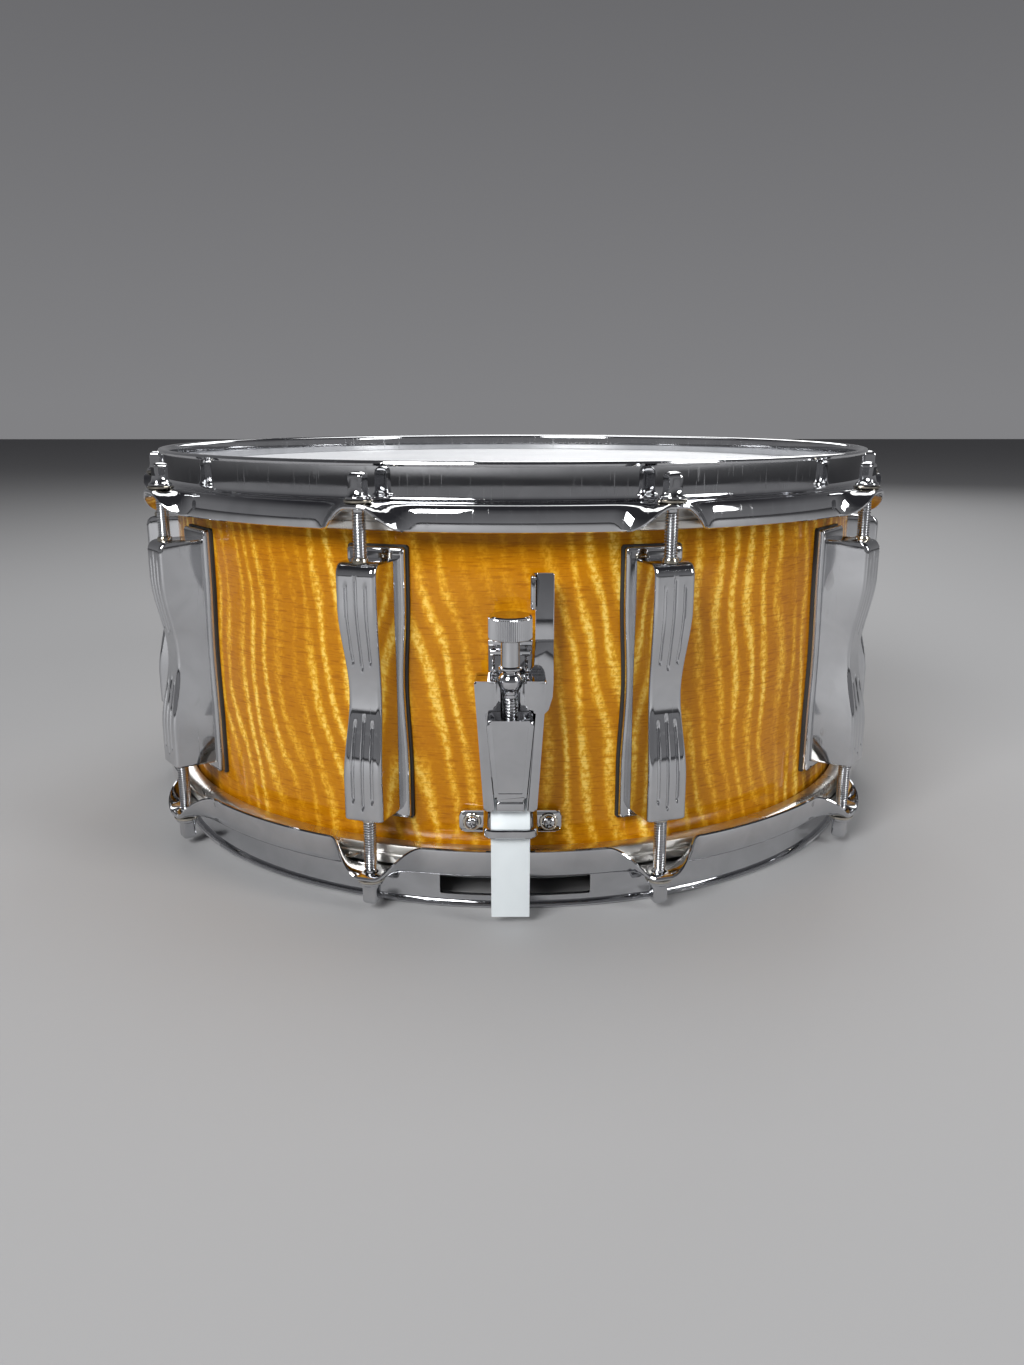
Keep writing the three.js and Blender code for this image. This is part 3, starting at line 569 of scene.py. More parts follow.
grommet = spindle(
    [
        (4.6, -9.4), (5.9, -9.4), (6.2, -9.0), (6.2, 0.25), (8.4, 0.25), (8.9, 0.5), (8.9, 0.9),
        (8.2, 1.45), (6.6, 1.8), (5.4, 1.7), (4.8, 1.2), (4.6, 0.4), (4.6, -9.4),
    ],
    48,
)
make(
    "vent_ring",
    moved(grommet, outward(0, BADGE_HIGH, MIDDLE)),
    chrome,
    nodes=["vent_grommet"],
    turn=VENT_TURN,
)

# ------------------------------------------------------------------------------ heads
# Each head is a polyester film, folded over the bearing edge and crimped in an aluminium hoop.
# The upper film has a rough white coating, and the snare-side film is thin, clear and hazy.

FILM = 0.4
FILM_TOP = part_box("batter_head")[1].z / MM
RING_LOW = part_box("batter_head_ring")[0].z / MM
RING_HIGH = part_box("batter_head_ring")[1].z / MM
RING_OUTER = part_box("batter_head_ring")[1].x / MM
RING_INNER = SHELL_OUTER + 1.3


def film_profile():
    """The batter film's section: flat, rolled over the edge, and down into its hoop."""
    top = [(0.02, FILM_TOP), (60, FILM_TOP), (120, FILM_TOP), (174.2, FILM_TOP)]
    for i in range(1, 8):
        a = math.radians(90 * i / 7)
        top.append((174.2 + 4.5 * math.sin(a), FILM_TOP - 4.5 * (1 - math.cos(a))))
    top.append((178.75, RING_LOW + 4))
    under = [(max(r - FILM, 0.02), z - (FILM if r < 178 else 0.0)) for r, z in reversed(top)]
    return top + under


def ring_profile():
    """The crimped aluminium channel that holds the film."""
    inner, outer, low, high = RING_INNER, RING_OUTER, RING_LOW, RING_HIGH
    return [
        (inner, low + 1.2), (inner + 0.5, low + 0.3), (inner + 1.4, low), (outer - 1.4, low),
        (outer - 0.4, low + 0.4), (outer, low + 1.4), (outer, low + 3.4), (outer - 0.45, low + 3.9),
        (outer - 0.45, low + 4.5), (outer, low + 5.0), (outer, high - 1.4), (outer - 0.4, high - 0.4),
        (outer - 1.4, high), (inner + 1.4, high), (inner + 0.4, high - 0.4), (inner, high - 1.4),
    ]


def turned_over(shape):
    """A batter-side shape turned over to the snare side."""
    points, faces = shape
    return [(x, -y, DRUM_HEIGHT - z) for x, y, z in points], faces


def coated_film():
    """White coating sprayed on film: a fine sandy surface, a little uneven in tone."""
    material, tree, shader, place = finish_of("coated_film", (0.80, 0.81, 0.83), 0.5)
    sand = speckle(tree, place, 1500.0, (1, 1, 1), 2.0, 0.6)
    mist = speckle(tree, place, 26.0, (1, 1, 1), 4.0, 0.6)
    tone = ramp(tree, mist, [(0.3, (0.72, 0.735, 0.76)), (0.7, (0.79, 0.80, 0.82))])
    grit = ramp(tree, sand, [(0.35, grey(0.90)), (0.6, grey(1.0))])
    tree.links.new(mixed(tree, 1.0, tone, grit, "MULTIPLY"), shader.inputs["Base Color"])
    rough = ramp(tree, sand, [(0.3, grey(0.42)), (0.7, grey(0.62))])
    tree.links.new(rough, shader.inputs["Roughness"])
    bumped(tree, shader, sand, 0.5, 0.00012)
    return material


def clear_film():
    """Thin hazy film that lets the inside of the drum show through."""
    material, tree, shader, place = finish_of("clear_film", (0.80, 0.82, 0.84), 0.16)
    haze = speckle(tree, place, 16.0, (1, 1, 1), 4.0, 0.6)
    veil = ramp(tree, haze, [(0.3, grey(0.30)), (0.7, grey(0.42))])
    tree.links.new(veil, shader.inputs["Alpha"])
    rough = ramp(tree, haze, [(0.3, grey(0.10)), (0.7, grey(0.22))])
    tree.links.new(rough, shader.inputs["Roughness"])
    bumped(tree, shader, haze, 0.1, 0.0006)
    return material


batter_coat = coated_film()
snare_film = clear_film()
film_shape = turned(film_profile(), 192)
ring_shape = turned(ring_profile(), 192)
make("batter_film", film_shape, batter_coat, nodes=["batter_head"])
make("batter_flesh_hoop", ring_shape, satin_alloy, nodes=["batter_head_ring"])
make("snare_film", turned_over(film_shape), snare_film, nodes=["snare_head"])
make(
    "snare_flesh_hoop", turned_over(ring_shape), satin_alloy, nodes=["snare_head_ring"]
)

# ------------------------------------------------------------------------------ hoops
# Triple-flanged hoops of chromed steel sheet. From the floor up the snare hoop is a rolled lip, a
# wall, a step that presses the flesh hoop, and a skirt. The skirt lies flat as an ear at each rod
# and stands up between them. Two gates in the snare hoop let the snare straps through.

SHEET = 2.2
LUG_ANGLES = [36.0 * (i + 0.5) for i in range(10)]
ROD_CIRCLE = math.hypot(*[j for j in frame["joints"] if j["name"] == "batter_rod_1_turn"][0]["pos_m"][:2]) / MM
HOOP_STEP = 16.5
LIP_RADIUS = 183.9
WALL_RADIUS = 181.5
SKIRT_RADIUS = 188.6
SKIRT_LENGTH = {"batter": 9.2, "snare": 11.2}
EAR_LENGTH = 11.5
SKIRT_ANGLE = math.radians(83)
EAR_FLAT, EAR_FADE = 0.9, 6.6
EAR_HOLE = 3.2
GATE_HALF = 32.0
GATE_LOW = 5.0


def ease(x, a, b):
    """Rises smoothly from 0 to 1 as x goes from a to b."""
    t = min(max((x - a) / (b - a), 0.0), 1.0)
    return t * t * (3 - 2 * t)


def rounded_line(points, radius, steps=5):
    """An open line of 2-D points with its corners rounded."""
    line = [points[0]]
    for before, corner, after in zip(points, points[1:], points[2:]):
        a, c, b = Vector(before), Vector(corner), Vector(after)
        reach = min(radius, (a - c).length * 0.48, (b - c).length * 0.48)
        start, stop = c + (a - c).normalized() * reach, c + (b - c).normalized() * reach
        for i in range(steps + 1):
            t = i / steps
            line.append(tuple((1 - t) ** 2 * start + 2 * t * (1 - t) * c + t * t * stop))
    line.append(points[-1])
    return line


def sheet_section(line, thickness, ends=4):
    """The closed outline of a bent sheet along a line, its ends rounded."""
    points = [Vector(p) for p in line]
    left, right = [], []
    for i, p in enumerate(points):
        into = (p - points[max(i - 1, 0)]) if i else (points[1] - p)
        away = (points[min(i + 1, len(points) - 1)] - p) if i < len(points) - 1 else into
        along = (into.normalized() + away.normalized()).normalized()
        side = Vector((-along.y, along.x)) * thickness / 2
        left.append(p + side)
        right.append(p - side)
    caps = []
    for tip, edge in ((points[-1], left[-1]), (points[0], right[0])):
        arm = edge - tip
        cap = []
        for i in range(1, ends):
            turn = -math.pi * i / ends
            cap.append(
                tip
                + Vector(
                    (
                        arm.x * math.cos(turn) - arm.y * math.sin(turn),
                        arm.x * math.sin(turn) + arm.y * math.cos(turn),
                    )
                )
            )
        caps.append(cap)
    return [tuple(p) for p in left + caps[0] + right[::-1] + caps[1]]


def hoop_section(from_rod, length):
    """A hoop's section at an angle from the nearest rod, lip down."""
    rise = ease(abs(from_rod), EAR_FLAT, EAR_FADE)
    fold = SKIRT_ANGLE * rise
    reach = length + (EAR_LENGTH - length) * (1 - rise)
    line = [
        (LIP_RADIUS, SHEET / 2),
        (WALL_RADIUS, SHEET / 2),
        (WALL_RADIUS, HOOP_STEP),
        (SKIRT_RADIUS, HOOP_STEP),
        (
            SKIRT_RADIUS + reach * math.cos(fold),
            HOOP_STEP + reach * math.sin(fold),
        ),
    ]
    return sheet_section(rounded_line(line, 3.2), SHEET)


def hoop_shape(length):
    """The whole hoop, a section every half degree."""
    points, faces = [], []
    steps = 720
    for i in range(steps):
        degrees = 360.0 * i / steps
        from_rod = min(abs((degrees - lug + 180) % 360 - 180) for lug in LUG_ANGLES)
        angle = math.radians(degrees)
        section = hoop_section(from_rod, length)
        points += [(r * math.sin(angle), -r * math.cos(angle), z) for r, z in section]
    count = len(points) // steps
    for i in range(steps):
        here, there = i * count, (i + 1) % steps * count
        for j in range(count):
            k = (j + 1) % count
            faces.append((here + j, there + j, there + k, here + k))
    return points, faces


def box_shape(x0, x1, n0, n1, z0, z1, edge=0.0, steps=2):
    """A block at the front of the shell, with rounded edges."""
    bm = bmesh.new()
    bmesh.ops.create_cube(bm, size=1.0)
    for vert in bm.verts:
        vert.co = Vector((x0, -n1, z0)) + Vector(
            ((vert.co.x + 0.5) * (x1 - x0), (vert.co.y + 0.5) * (n1 - n0), (vert.co.z + 0.5) * (z1 - z0))
        )
    if edge:
        bmesh.ops.bevel(
            bm, geom=bm.edges[:], offset=edge, segments=steps, profile=0.5, affect="EDGES"
        )
    shape = [tuple(v.co) for v in bm.verts], [tuple(v.index for v in f.verts) for f in bm.faces]
    bm.free()
    return shape


ear_bores = joined(
    *[
        moved(
            spindle([(0, -6), (EAR_HOLE, -6), (EAR_HOLE, 6), (0, 6)], 24),
            about_axis(angle) @ Matrix.Translation((0, -ROD_CIRCLE, HOOP_STEP)),
        )
        for angle in LUG_ANGLES
    ]
)
gate_cuts = [
    moved(
        box_shape(-GATE_HALF, GATE_HALF, 168, 187, GATE_LOW, HOOP_STEP - SHEET / 2 - 0.5, 0.8),
        about_axis(turn),
    )
    for turn in (0, 180)
]
make(
    "snare_hoop_steel",
    carved(hoop_shape(SKIRT_LENGTH["snare"]), ear_bores, *gate_cuts),
    chrome,
    nodes=["snare_hoop"],
)
make(
    "batter_hoop_steel",
    turned_over(carved(hoop_shape(SKIRT_LENGTH["batter"]), ear_bores)),
    chrome,
    nodes=["batter_hoop"],
)

# ------------------------------------------------------------------------------ lugs
# Ten double-ended lugs of chromed die-cast zinc, waisted like a bow tie, with three grooves in
# each half of the face. Each sits on a black gasket, and two screws hold it from inside the shell.

LUG_MIDDLE = 94.8
LUG_HALF = 52.8
RIM_HALF = 57.2
RIM_BACK = SHELL_OUTER + 1.3
RIM_DEPTH = 2.8
LUG_ROLL = 4.6
FOOT_ROLL = 1.0
SIDE_ROLL = 1.9
GROOVE_GAP = 4.2


def flare(z):
    """0 at the lug's waist and 1 towards its ends."""
    return ease(abs(z), 0, 36)


def lug_front(z):
    """How far out the face stands, before its ends roll over."""
    return 195.8 + 5.1 * flare(z)


def groove_depth(x, z):
    """How deep the engraved lines are at a place on the lug's face."""
    depth = 0.0
    for line in (-1, 0, 1):
        start, stop = (9.0, 48.5) if line == 0 else (11.5, 45.5)
        along = ease(abs(z), start, start + 2.0) * (1 - ease(abs(z), stop - 2.0, stop))
        across = abs(x - line * GROOVE_GAP * (0.85 + 0.15 * flare(z)))
        depth = max(depth, along * 0.85 * (1 - ease(across, 0.2, 0.95)))
    return depth


def lug_rows():
    """(height, how far the face is rolled back) rows of the casing, foot to head."""
    quarter = [math.radians(15 * i) for i in range(7)]
    rows = [
        (-LUG_HALF + FOOT_ROLL * (1 - math.sin(a)), FOOT_ROLL * (1 - math.cos(a)))
        for a in reversed(quarter)
    ]
    low, high = -LUG_HALF + FOOT_ROLL, LUG_HALF - LUG_ROLL
    steps = 96
    rows += [(low + (high - low) * i / steps, 0.0) for i in range(1, steps)]
    rows += [
        (high + LUG_ROLL * math.sin(a), LUG_ROLL * (1 - math.cos(a))) for a in quarter
    ]
    return rows


def lug_casing():
    """The body: rows of outlines from back left, across the grooved face, to back right."""
    points, faces = [], []
    face_steps = [-1 + 2 * i / 56 for i in range(57)]
    rows = lug_rows()
    for z, inset in rows:
        end = ease(abs(z), LUG_HALF - 0.7, LUG_HALF)
        wide = 6.9 + 1.55 * flare(z) - 0.5 * end
        foot = 9.4 + 0.5 * flare(z) - 0.5 * end
        front = lug_front(z) - inset
        roll = SIDE_ROLL
        shoulder = wide + (foot - wide) * roll / (front - RIM_BACK)
        row = [(-foot, RIM_BACK + 1.0), (-(foot + shoulder) / 2, (RIM_BACK + front - roll) / 2)]
        for i in range(7):
            a = math.radians(15 * i)
            row.append((-shoulder + roll * (1 - math.cos(a)), front - roll + roll * math.sin(a)))
        for share in face_steps[1:-1]:
            x = share * (shoulder - roll)
            row.append((x, front - groove_depth(x, z)))
        row += [(-x, n) for x, n in reversed(row[:9])]
        points += [(x, -n, z + LUG_MIDDLE) for x, n in row]
    count = len(points) // len(rows)
    for i in range(len(rows) - 1):
        for j in range(count):
            k = (j + 1) % count
            here, up = i * count, (i + 1) * count
            faces.append((here + j, here + k, up + k, up + j))
    faces.append(tuple(reversed(range(count))))
    faces.append(tuple(range((len(rows) - 1) * count, len(rows) * count)))
    return points, faces


def lug_rim(back, depth, spread, edge):
    """A plate with the lug's waisted outline, spread beyond it, with a rounded front edge."""
    points, faces = [], []
    half = RIM_HALF + spread
    steps = 48
    heights = [half * (2 * i / steps - 1) for i in range(steps + 1)]
    right = [(11.0 + 1.4 * flare(z) + spread, z) for z in heights]
    right = [(right[0][0] - 0.8, -half), (right[0][0], -half + 0.8), *right[1:-1],
             (right[-1][0], half - 0.8), (right[-1][0] - 0.8, half)]
    outline = right + [(-x, z) for x, z in reversed(right)]
    curve = [math.radians(18 * i) for i in range(6)]
    levels = [(0.0, back)]
    levels += [(edge * (1 - math.cos(a)), back + depth - edge + edge * math.sin(a)) for a in curve]
    for inset, n in levels:
        for x, z in outline:
            shrink_x = 1 - inset / abs(x)
            shrink_z = 1 - inset / half
            points.append((x * shrink_x, -n, z * shrink_z + LUG_MIDDLE))
    count = len(outline)
    for i in range(len(levels) - 1):
        for j in range(count):
            k = (j + 1) % count
            faces.append((i * count + j, i * count + k, (i + 1) * count + k, (i + 1) * count + j))
    faces.append(tuple(reversed(range(count))))
    faces.append(tuple(range((len(levels) - 1) * count, len(levels) * count)))
    return points, faces


def upright(x, n, z):
    """The matrix that stands a shape at (x, n, z)."""
    return Matrix.Translation((x, -n, z))


black_rubber = soft_plastic("black_rubber", grey(0.018), grey(0.032), 0.55, 800.0, 0.0001)
bright_nickel = plated_metal("bright_nickel", (0.66, 0.62, 0.54), (0.52, 0.47, 0.38), 0.11)

lug_mesh = mesh_of("lug_casing", joined(lug_casing(), lug_rim(RIM_BACK, RIM_DEPTH, 0.0, 1.3)))
gasket_mesh = mesh_of("lug_gasket", lug_rim(SHELL_OUTER - 0.3, 1.5, 0.7, 0.3))
insert = spindle([(0, -1), (3.3, -1), (3.3, 0.9), (3.0, 1.5), (2.6, 1.6), (0, 1.6)], 28)
insert_mesh = mesh_of(
    "rod_insert",
    joined(
        moved(insert, upright(0, ROD_CIRCLE, LUG_MIDDLE + LUG_HALF)),
        moved(
            insert,
            upright(0, ROD_CIRCLE, LUG_MIDDLE - LUG_HALF) @ Matrix.Rotation(math.pi, 4, "X"),
        ),
    ),
)
inner_screw = joined(
    spindle([(0, 0), (7.0, 0), (7.0, 0.8), (6.6, 1.1), (0, 1.1)], 24),
    spindle([(0, 1.0), (4.2, 1.0), (4.4, 1.4), (4.2, 2.8), (3.2, 3.9), (1.8, 4.3), (0, 4.4)], 24),
)
screw_mesh = mesh_of(
    "lug_screw",
    joined(
        *[
            moved(inner_screw, Matrix.Translation((0, -SHELL_INNER + 0.2, LUG_MIDDLE + 38 * end))
                  @ Matrix.Rotation(math.radians(-90), 4, "X"))
            for end in (-1, 1)
        ]
    ),
)
for i, angle in enumerate(LUG_ANGLES, 1):
    make(f"lug_casing_{i}", lug_mesh, chrome, nodes=[f"lug_{i}"], turn=angle)
    make(f"lug_gasket_{i}", gasket_mesh, black_rubber, turn=angle)
    make(f"lug_inserts_{i}", insert_mesh, bright_nickel, turn=angle)
    make(f"lug_screws_{i}", screw_mesh, bright_nickel, turn=angle)

# ------------------------------------------------------------------------------ tension rods
# Twenty chromed steel rods with square key heads. Each head flares to a round flange, which bears
# on a nickel washer on the hoop's ear, and the thread runs down into the lug's insert.

WASHER = 1.3
KEY_HALF = 3.1
THREAD_MAJOR = 2.75
THREAD_MINOR = 2.15
THREAD_PITCH = 1.12
ROD_LENGTH = 47.0


def key_head(seat):
    """A square key head over a flare and a flange, from the flange's underside up."""
    rows = [
        # height, half width, squareness from 0 (round) to 1
        (0.0, 2.2, 0.0), (0.0, 4.8, 0.0), (0.15, 5.1, 0.0), (0.85, 5.1, 0.0), (1.15, 4.9, 0.0),
        (1.5, 4.2, 0.05), (2.2, 3.75, 0.3), (3.0, 3.35, 0.7), (3.8, 3.16, 0.95), (4.6, 3.1, 1.0),
        (8.0, 3.08, 1.0), (8.7, 3.05, 1.0), (9.3, 2.85, 0.95), (9.8, 2.45, 0.9), (10.15, 1.9, 0.8),
        (10.4, 1.1, 0.6), (10.45, 0.0, 0.0),
    ]
    points, faces = [], []
    sides = 40
    for height, half, square in rows:
        for i in range(sides):
            angle = 2 * math.pi * i / sides
            c, s = math.cos(angle), math.sin(angle)
            reach = 1 / max(abs(c), abs(s))
            corner = min(reach, 1.30)
            radius = max(half, 1e-3) * (1 + (corner - 1) * square)
            points.append((radius * c, radius * s, seat + height))
    for i in range(len(rows) - 1):
        for j in range(sides):
            k = (j + 1) % sides
            faces.append((i * sides + j, i * sides + k, (i + 1) * sides + k, (i + 1) * sides + j))
    faces.append(tuple(reversed(range(sides))))
    return points, faces


def threaded(low, high, major, minor, pitch, sides=18, rows_a_turn=6):
    """An upright screw thread between two heights."""
    points, faces = [], []
    count = int((high - low) / pitch * rows_a_turn)
    for i in range(count + 1):
        z = low + (high - low) * i / count
        fade = min(1.0, (high - z) / pitch, (z - low) / pitch + 0.3)
        for j in range(sides):
            angle = 2 * math.pi * j / sides
            phase = (z / pitch - j / sides) % 1.0
            crest = 1 - abs(2 * phase - 1)
            radius = minor + (major - minor) * min(1.0, 1.5 * crest) * fade
            points.append((radius * math.cos(angle), radius * math.sin(angle), z))
    for i in range(count):
        for j in range(sides):
            k = (j + 1) % sides
            faces.append((i * sides + j, i * sides + k, (i + 1) * sides + k, (i + 1) * sides + j))
    faces.append(tuple(reversed(range(sides))))
    faces.append(tuple(range(count * sides, (count + 1) * sides)))
    return points, faces


rod_mesh = mesh_of(
    "key_rod",
    joined(
        key_head(WASHER),
        spindle([(0, -3.6), (2.4, -3.6), (2.6, -3.0), (2.6, WASHER + 0.5), (0, WASHER + 0.5)], 24),
        threaded(-ROD_LENGTH, -3.2, THREAD_MAJOR, THREAD_MINOR, THREAD_PITCH),
    ),
)
washer_mesh = mesh_of(
    "rod_washer",
    spindle([(2.8, 0.05), (5.5, 0.05), (5.8, 0.3), (5.8, 0.9), (5.5, 1.2), (2.8, 1.2), (2.8, 0.05)], 36),
)
rod_joints = {j["name"]: j for j in frame["joints"]}
for side in ("batter", "snare"):
    for i, angle in enumerate(LUG_ANGLES, 1):
        body = f"{side}_rod_{i}"
        place = Matrix.Translation(rod_joints[f"{body}_turn"]["pos_m"]) @ about_axis(angle)
        if side == "snare":
            place = place @ Matrix.Rotation(math.pi, 4, "X")
        for word, mesh, finish, rider, nodes in (
            ("key", rod_mesh, chrome, body, [body]),
            ("washer", washer_mesh, bright_nickel, "drum", []),
        ):
            piece = bpy.data.objects.new(f"{side}_{word}_{i}", mesh)
            bpy.context.scene.collection.objects.link(piece)
            if not mesh.materials:
                mesh.materials.append(finish)
                mesh.shade_smooth()
                mesh.set_sharp_from_angle(angle=math.radians(34))
            piece.matrix_world = place
            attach(piece, rider)
            if nodes:
                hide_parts(*nodes)

# ------------------------------------------------------------------------------ strainer base
# The throw-off's base is a chromed channel screwed to the shell through two ears. A guide loop
# for the snare strap stands out from its foot, and a shelf at the top stops the lever.

STRAINER_X = -2.0
BASE_BACK = SHELL_OUTER + 0.8
BASE_FRONT = 186.0
BASE_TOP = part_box("strainer_base")[1].z / MM
BASE_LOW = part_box("strainer_base")[0].z / MM
EAR_TOP = 43.0
LOOP_HALF = 11.0
LOOP_LOW, LOOP_TOP = 40.8, 44.5
LOOP_FRONT = -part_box("strainer_base")[0].y / MM
SCREW_X = 16.0
SCREW_Z = (EAR_TOP + BASE_LOW) / 2


def rounded_outline(points, radius, steps=4):
    """A closed 2-D outline with its corners rounded; radius may differ by corner."""
    radii = radius if isinstance(radius, (list, tuple)) else [radius] * len(points)
    line = []
    for i, corner in enumerate(points):
        c = Vector(corner)
        a, b = Vector(points[i - 1]), Vector(points[(i + 1) % len(points)])
        reach = min(radii[i], (a - c).length * 0.48, (b - c).length * 0.48)
        if reach < 1e-6:
            line.append(tuple(c))
            continue
        start, stop = c + (a - c).normalized() * reach, c + (b - c).normalized() * reach
        for k in range(steps + 1):
            t = k / steps
            line.append(tuple((1 - t) ** 2 * start + 2 * t * (1 - t) * c + t * t * stop))
    return line


def plate_shape(outline, back, front, edge=0.4, steps=2):
    """A plate with an outline of (x, z) points, from radius back to front, its edges rounded."""
    bm = bmesh.new()
    low = [bm.verts.new((x, -back, z)) for x, z in outline]
    high = [bm.verts.new((x, -front, z)) for x, z in outline]
    bm.faces.new(low)
    bm.faces.new(high[::-1])
    rims = []
    for i in range(len(outline)):
        k = (i + 1) % len(outline)
        bm.faces.new((low[k], low[i], high[i], high[k]))
    bm.edges.ensure_lookup_table()
    for verts in (low, high):
        for i in range(len(outline)):
            rims.append(bm.edges.get((verts[i], verts[(i + 1) % len(outline)])))
    if edge:
        bmesh.ops.bevel(bm, geom=rims, offset=edge, segments=steps, profile=0.5, affect="EDGES")
    bm.verts.index_update()
    shape = [tuple(v.co) for v in bm.verts], [tuple(v.index for v in f.verts) for f in bm.faces]
    bm.free()
    return shape


def bar_along(path, section):
    """A bar swept along a level path of (x, n) points; its section is (out, z) points."""
    points, faces = [], []
    count = len(section)
    for i, (x, n) in enumerate(path):
        before, after = Vector(path[max(i - 1, 0)]), Vector(path[min(i + 1, len(path) - 1)])
        along = (after - before).normalized()
        side = Vector((along.y, -along.x))
        for out, z in section:
            points.append((x + side.x * out, -(n + side.y * out), z))
    for i in range(len(path) - 1):
        for j in range(count):
            k = (j + 1) % count
            faces.append((i * count + j, i * count + k, (i + 1) * count + k, (i + 1) * count + j))
    faces.append(tuple(reversed(range(count))))
    faces.append(tuple(range((len(path) - 1) * count, len(path) * count)))
    return points, faces


def cross_screw(head, height):
    """A pan-head screw with a cross recess, drawn upright with its head's seat at height 0."""
    dome = [(0, -0.1), (head, -0.1), (head, height * 0.35), (head * 0.93, height * 0.62)]
    dome += [(head * 0.75, height * 0.86), (head * 0.45, height * 0.97), (0, height)]
    return spindle(dome, 32)


def cross_recess(reach, depth, height):
    """The tool that cuts a cross recess into a screw's head."""
    arms = []
    for a, b in ((reach, 0.5), (0.5, reach)):
        low = [(-a * 0.5, -b * 0.5), (a * 0.5, -b * 0.5), (a * 0.5, b * 0.5), (-a * 0.5, b * 0.5)]
        high = [(-a, -b), (a, -b), (a, b), (-a, b)]
        points = [(x, y, height - depth) for x, y in low] + [(x, y, height + 1) for x, y in high]
        faces = [(3, 2, 1, 0), (4, 5, 6, 7)]
        faces += [(i, (i + 1) % 4, 4 + (i + 1) % 4, 4 + i) for i in range(4)]
        arms.append((points, faces))
    return arms


base_outline = rounded_outline(
    [(-8.8, BASE_LOW), (8.8, BASE_LOW), (8.8, BASE_TOP), (-8.8, BASE_TOP)], [1.0, 1.0, 1.8, 1.8]
)
ear_outline = rounded_outline(
    [(-21.3, BASE_LOW), (21.3, BASE_LOW), (21.3, EAR_TOP), (-21.3, EAR_TOP)], 2.4
)
loop_path = rounded_line(
    [(-9.9, 182), (-9.9, LOOP_FRONT - 1.1), (9.9, LOOP_FRONT - 1.1), (9.9, 182)], 4.5, 8
)
loop_section = [(-1.1, LOOP_LOW + 0.6), (-0.6, LOOP_LOW), (0.7, LOOP_LOW), (1.1, LOOP_LOW + 0.7),
                (1.1, LOOP_TOP - 0.7), (0.7, LOOP_TOP), (-0.6, LOOP_TOP), (-1.1, LOOP_TOP - 0.6)]
channel = joined(
    plate_shape(base_outline, BASE_BACK, BASE_FRONT - 2.2, 0.5),
    box_shape(-8.8, -6.4, BASE_FRONT - 3, BASE_FRONT, BASE_LOW + 1, BASE_TOP - 0.6, 0.5),
    box_shape(6.4, 8.8, BASE_FRONT - 3, BASE_FRONT, BASE_LOW + 1, BASE_TOP - 0.6, 0.5),
    box_shape(-8.8, 8.8, BASE_FRONT - 3, 189.2, BASE_TOP - 2.6, BASE_TOP, 0.6, 3),
    box_shape(-8.2, 8.2, BASE_FRONT - 3, 187.6, BASE_TOP - 7.0, BASE_TOP - 4.6, 0.6, 3),
    plate_shape(ear_outline, BASE_BACK, 181.2, 0.6),
    moved(
        spindle([(0, 0), (3.2, 0), (3.2, 1.6), (2.4, 2.0), (2.4, 6.0), (2.0, 6.4), (0, 6.4)], 24),
        outward(0, 186, 92),
    ),
    bar_along(loop_path, loop_section),
)
strainer_shift = Matrix.Translation((STRAINER_X, 0, 0))
make(
    "strainer_channel",
    moved(channel, strainer_shift),
    chrome,
    nodes=["strainer_base"],
)
for side, word in ((-1, "left"), (1, "right")):
    seat = outward(STRAINER_X + side * SCREW_X, 182.3, SCREW_Z)
    spun = seat @ Matrix.Rotation(math.radians(20 + 35 * side), 4, "Z")
    make(
        f"strainer_cross_screw_{word}",
        moved(carved(cross_screw(2.85, 2.3), *cross_recess(1.7, 1.5, 2.3)), spun),
        chrome,
        nodes=[f"strainer_screw_{word}"],
    )
    make(
        f"strainer_washer_{word}",
        moved(
            spindle([(0, -1.1), (3.6, -1.1), (3.9, -0.8), (3.8, -0.2), (3.5, 0), (0, 0)], 36), seat
        ),
        bright_nickel,
    )

# ------------------------------------------------------------------------------ strainer lever
# The lever is a flat chromed plate on the base's pivot. It goes up at the right of the knob, steps
# back, and ends in a thumb tab bent forward along its left edge.

LEVER_BACK = -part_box("strainer_lever")[1].y / MM
LEVER_FRONT = LEVER_BACK + 2.2
LEVER_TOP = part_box("strainer_lever")[1].z / MM
TAB_FRONT = 195.0

foot_outline = [(9.8, 116.5), (9.8, 106)]
foot_outline += [(9.0 - 9.0 * ease(t, 0, 1), 100.8 + 5.2 * (1 - t) ** 2) for t in (0.2, 0.5, 0.8, 1.0)]
foot_outline += [(8.5 * math.cos(math.radians(a)), 92 + 8.5 * math.sin(math.radians(a)))
                 for a in range(110, 271, 16)]
foot_outline += [(6.0, 82.0), (11.5, 84.5), (15.4, 88.5), (17.0, 94), (17.2, 100), (17.2, 116.5)]
arm_outline = rounded_outline([(9.9, 115), (17.2, 115), (17.2, LEVER_TOP), (9.9, LEVER_TOP)],
                              [0.2, 0.2, 0.9, 0.9])
step_outline = [(9.9, 114.6), (17.2, 114.6), (17.2, 117.2), (9.9, 117.2)]
lever_shape = joined(
    plate_shape(foot_outline[::-1], LEVER_BACK, LEVER_FRONT, 0.35),
    plate_shape(arm_outline, LEVER_BACK, LEVER_FRONT - 0.9, 0.3),
    plate_shape(step_outline, LEVER_BACK + 0.2, LEVER_FRONT - 0.4, 0.3),
    box_shape(7.8, 9.9, LEVER_BACK, TAB_FRONT, LEVER_TOP - 13.4, LEVER_TOP, 0.9, 4),
    box_shape(8.6, 10.8, LEVER_BACK, LEVER_FRONT - 0.9, LEVER_TOP - 13.4, LEVER_TOP, 0.3),
)
make(
    "lever_plate",
    moved(lever_shape, strainer_shift),
    chrome,
    body="lever",
    nodes=["strainer_lever"],
)

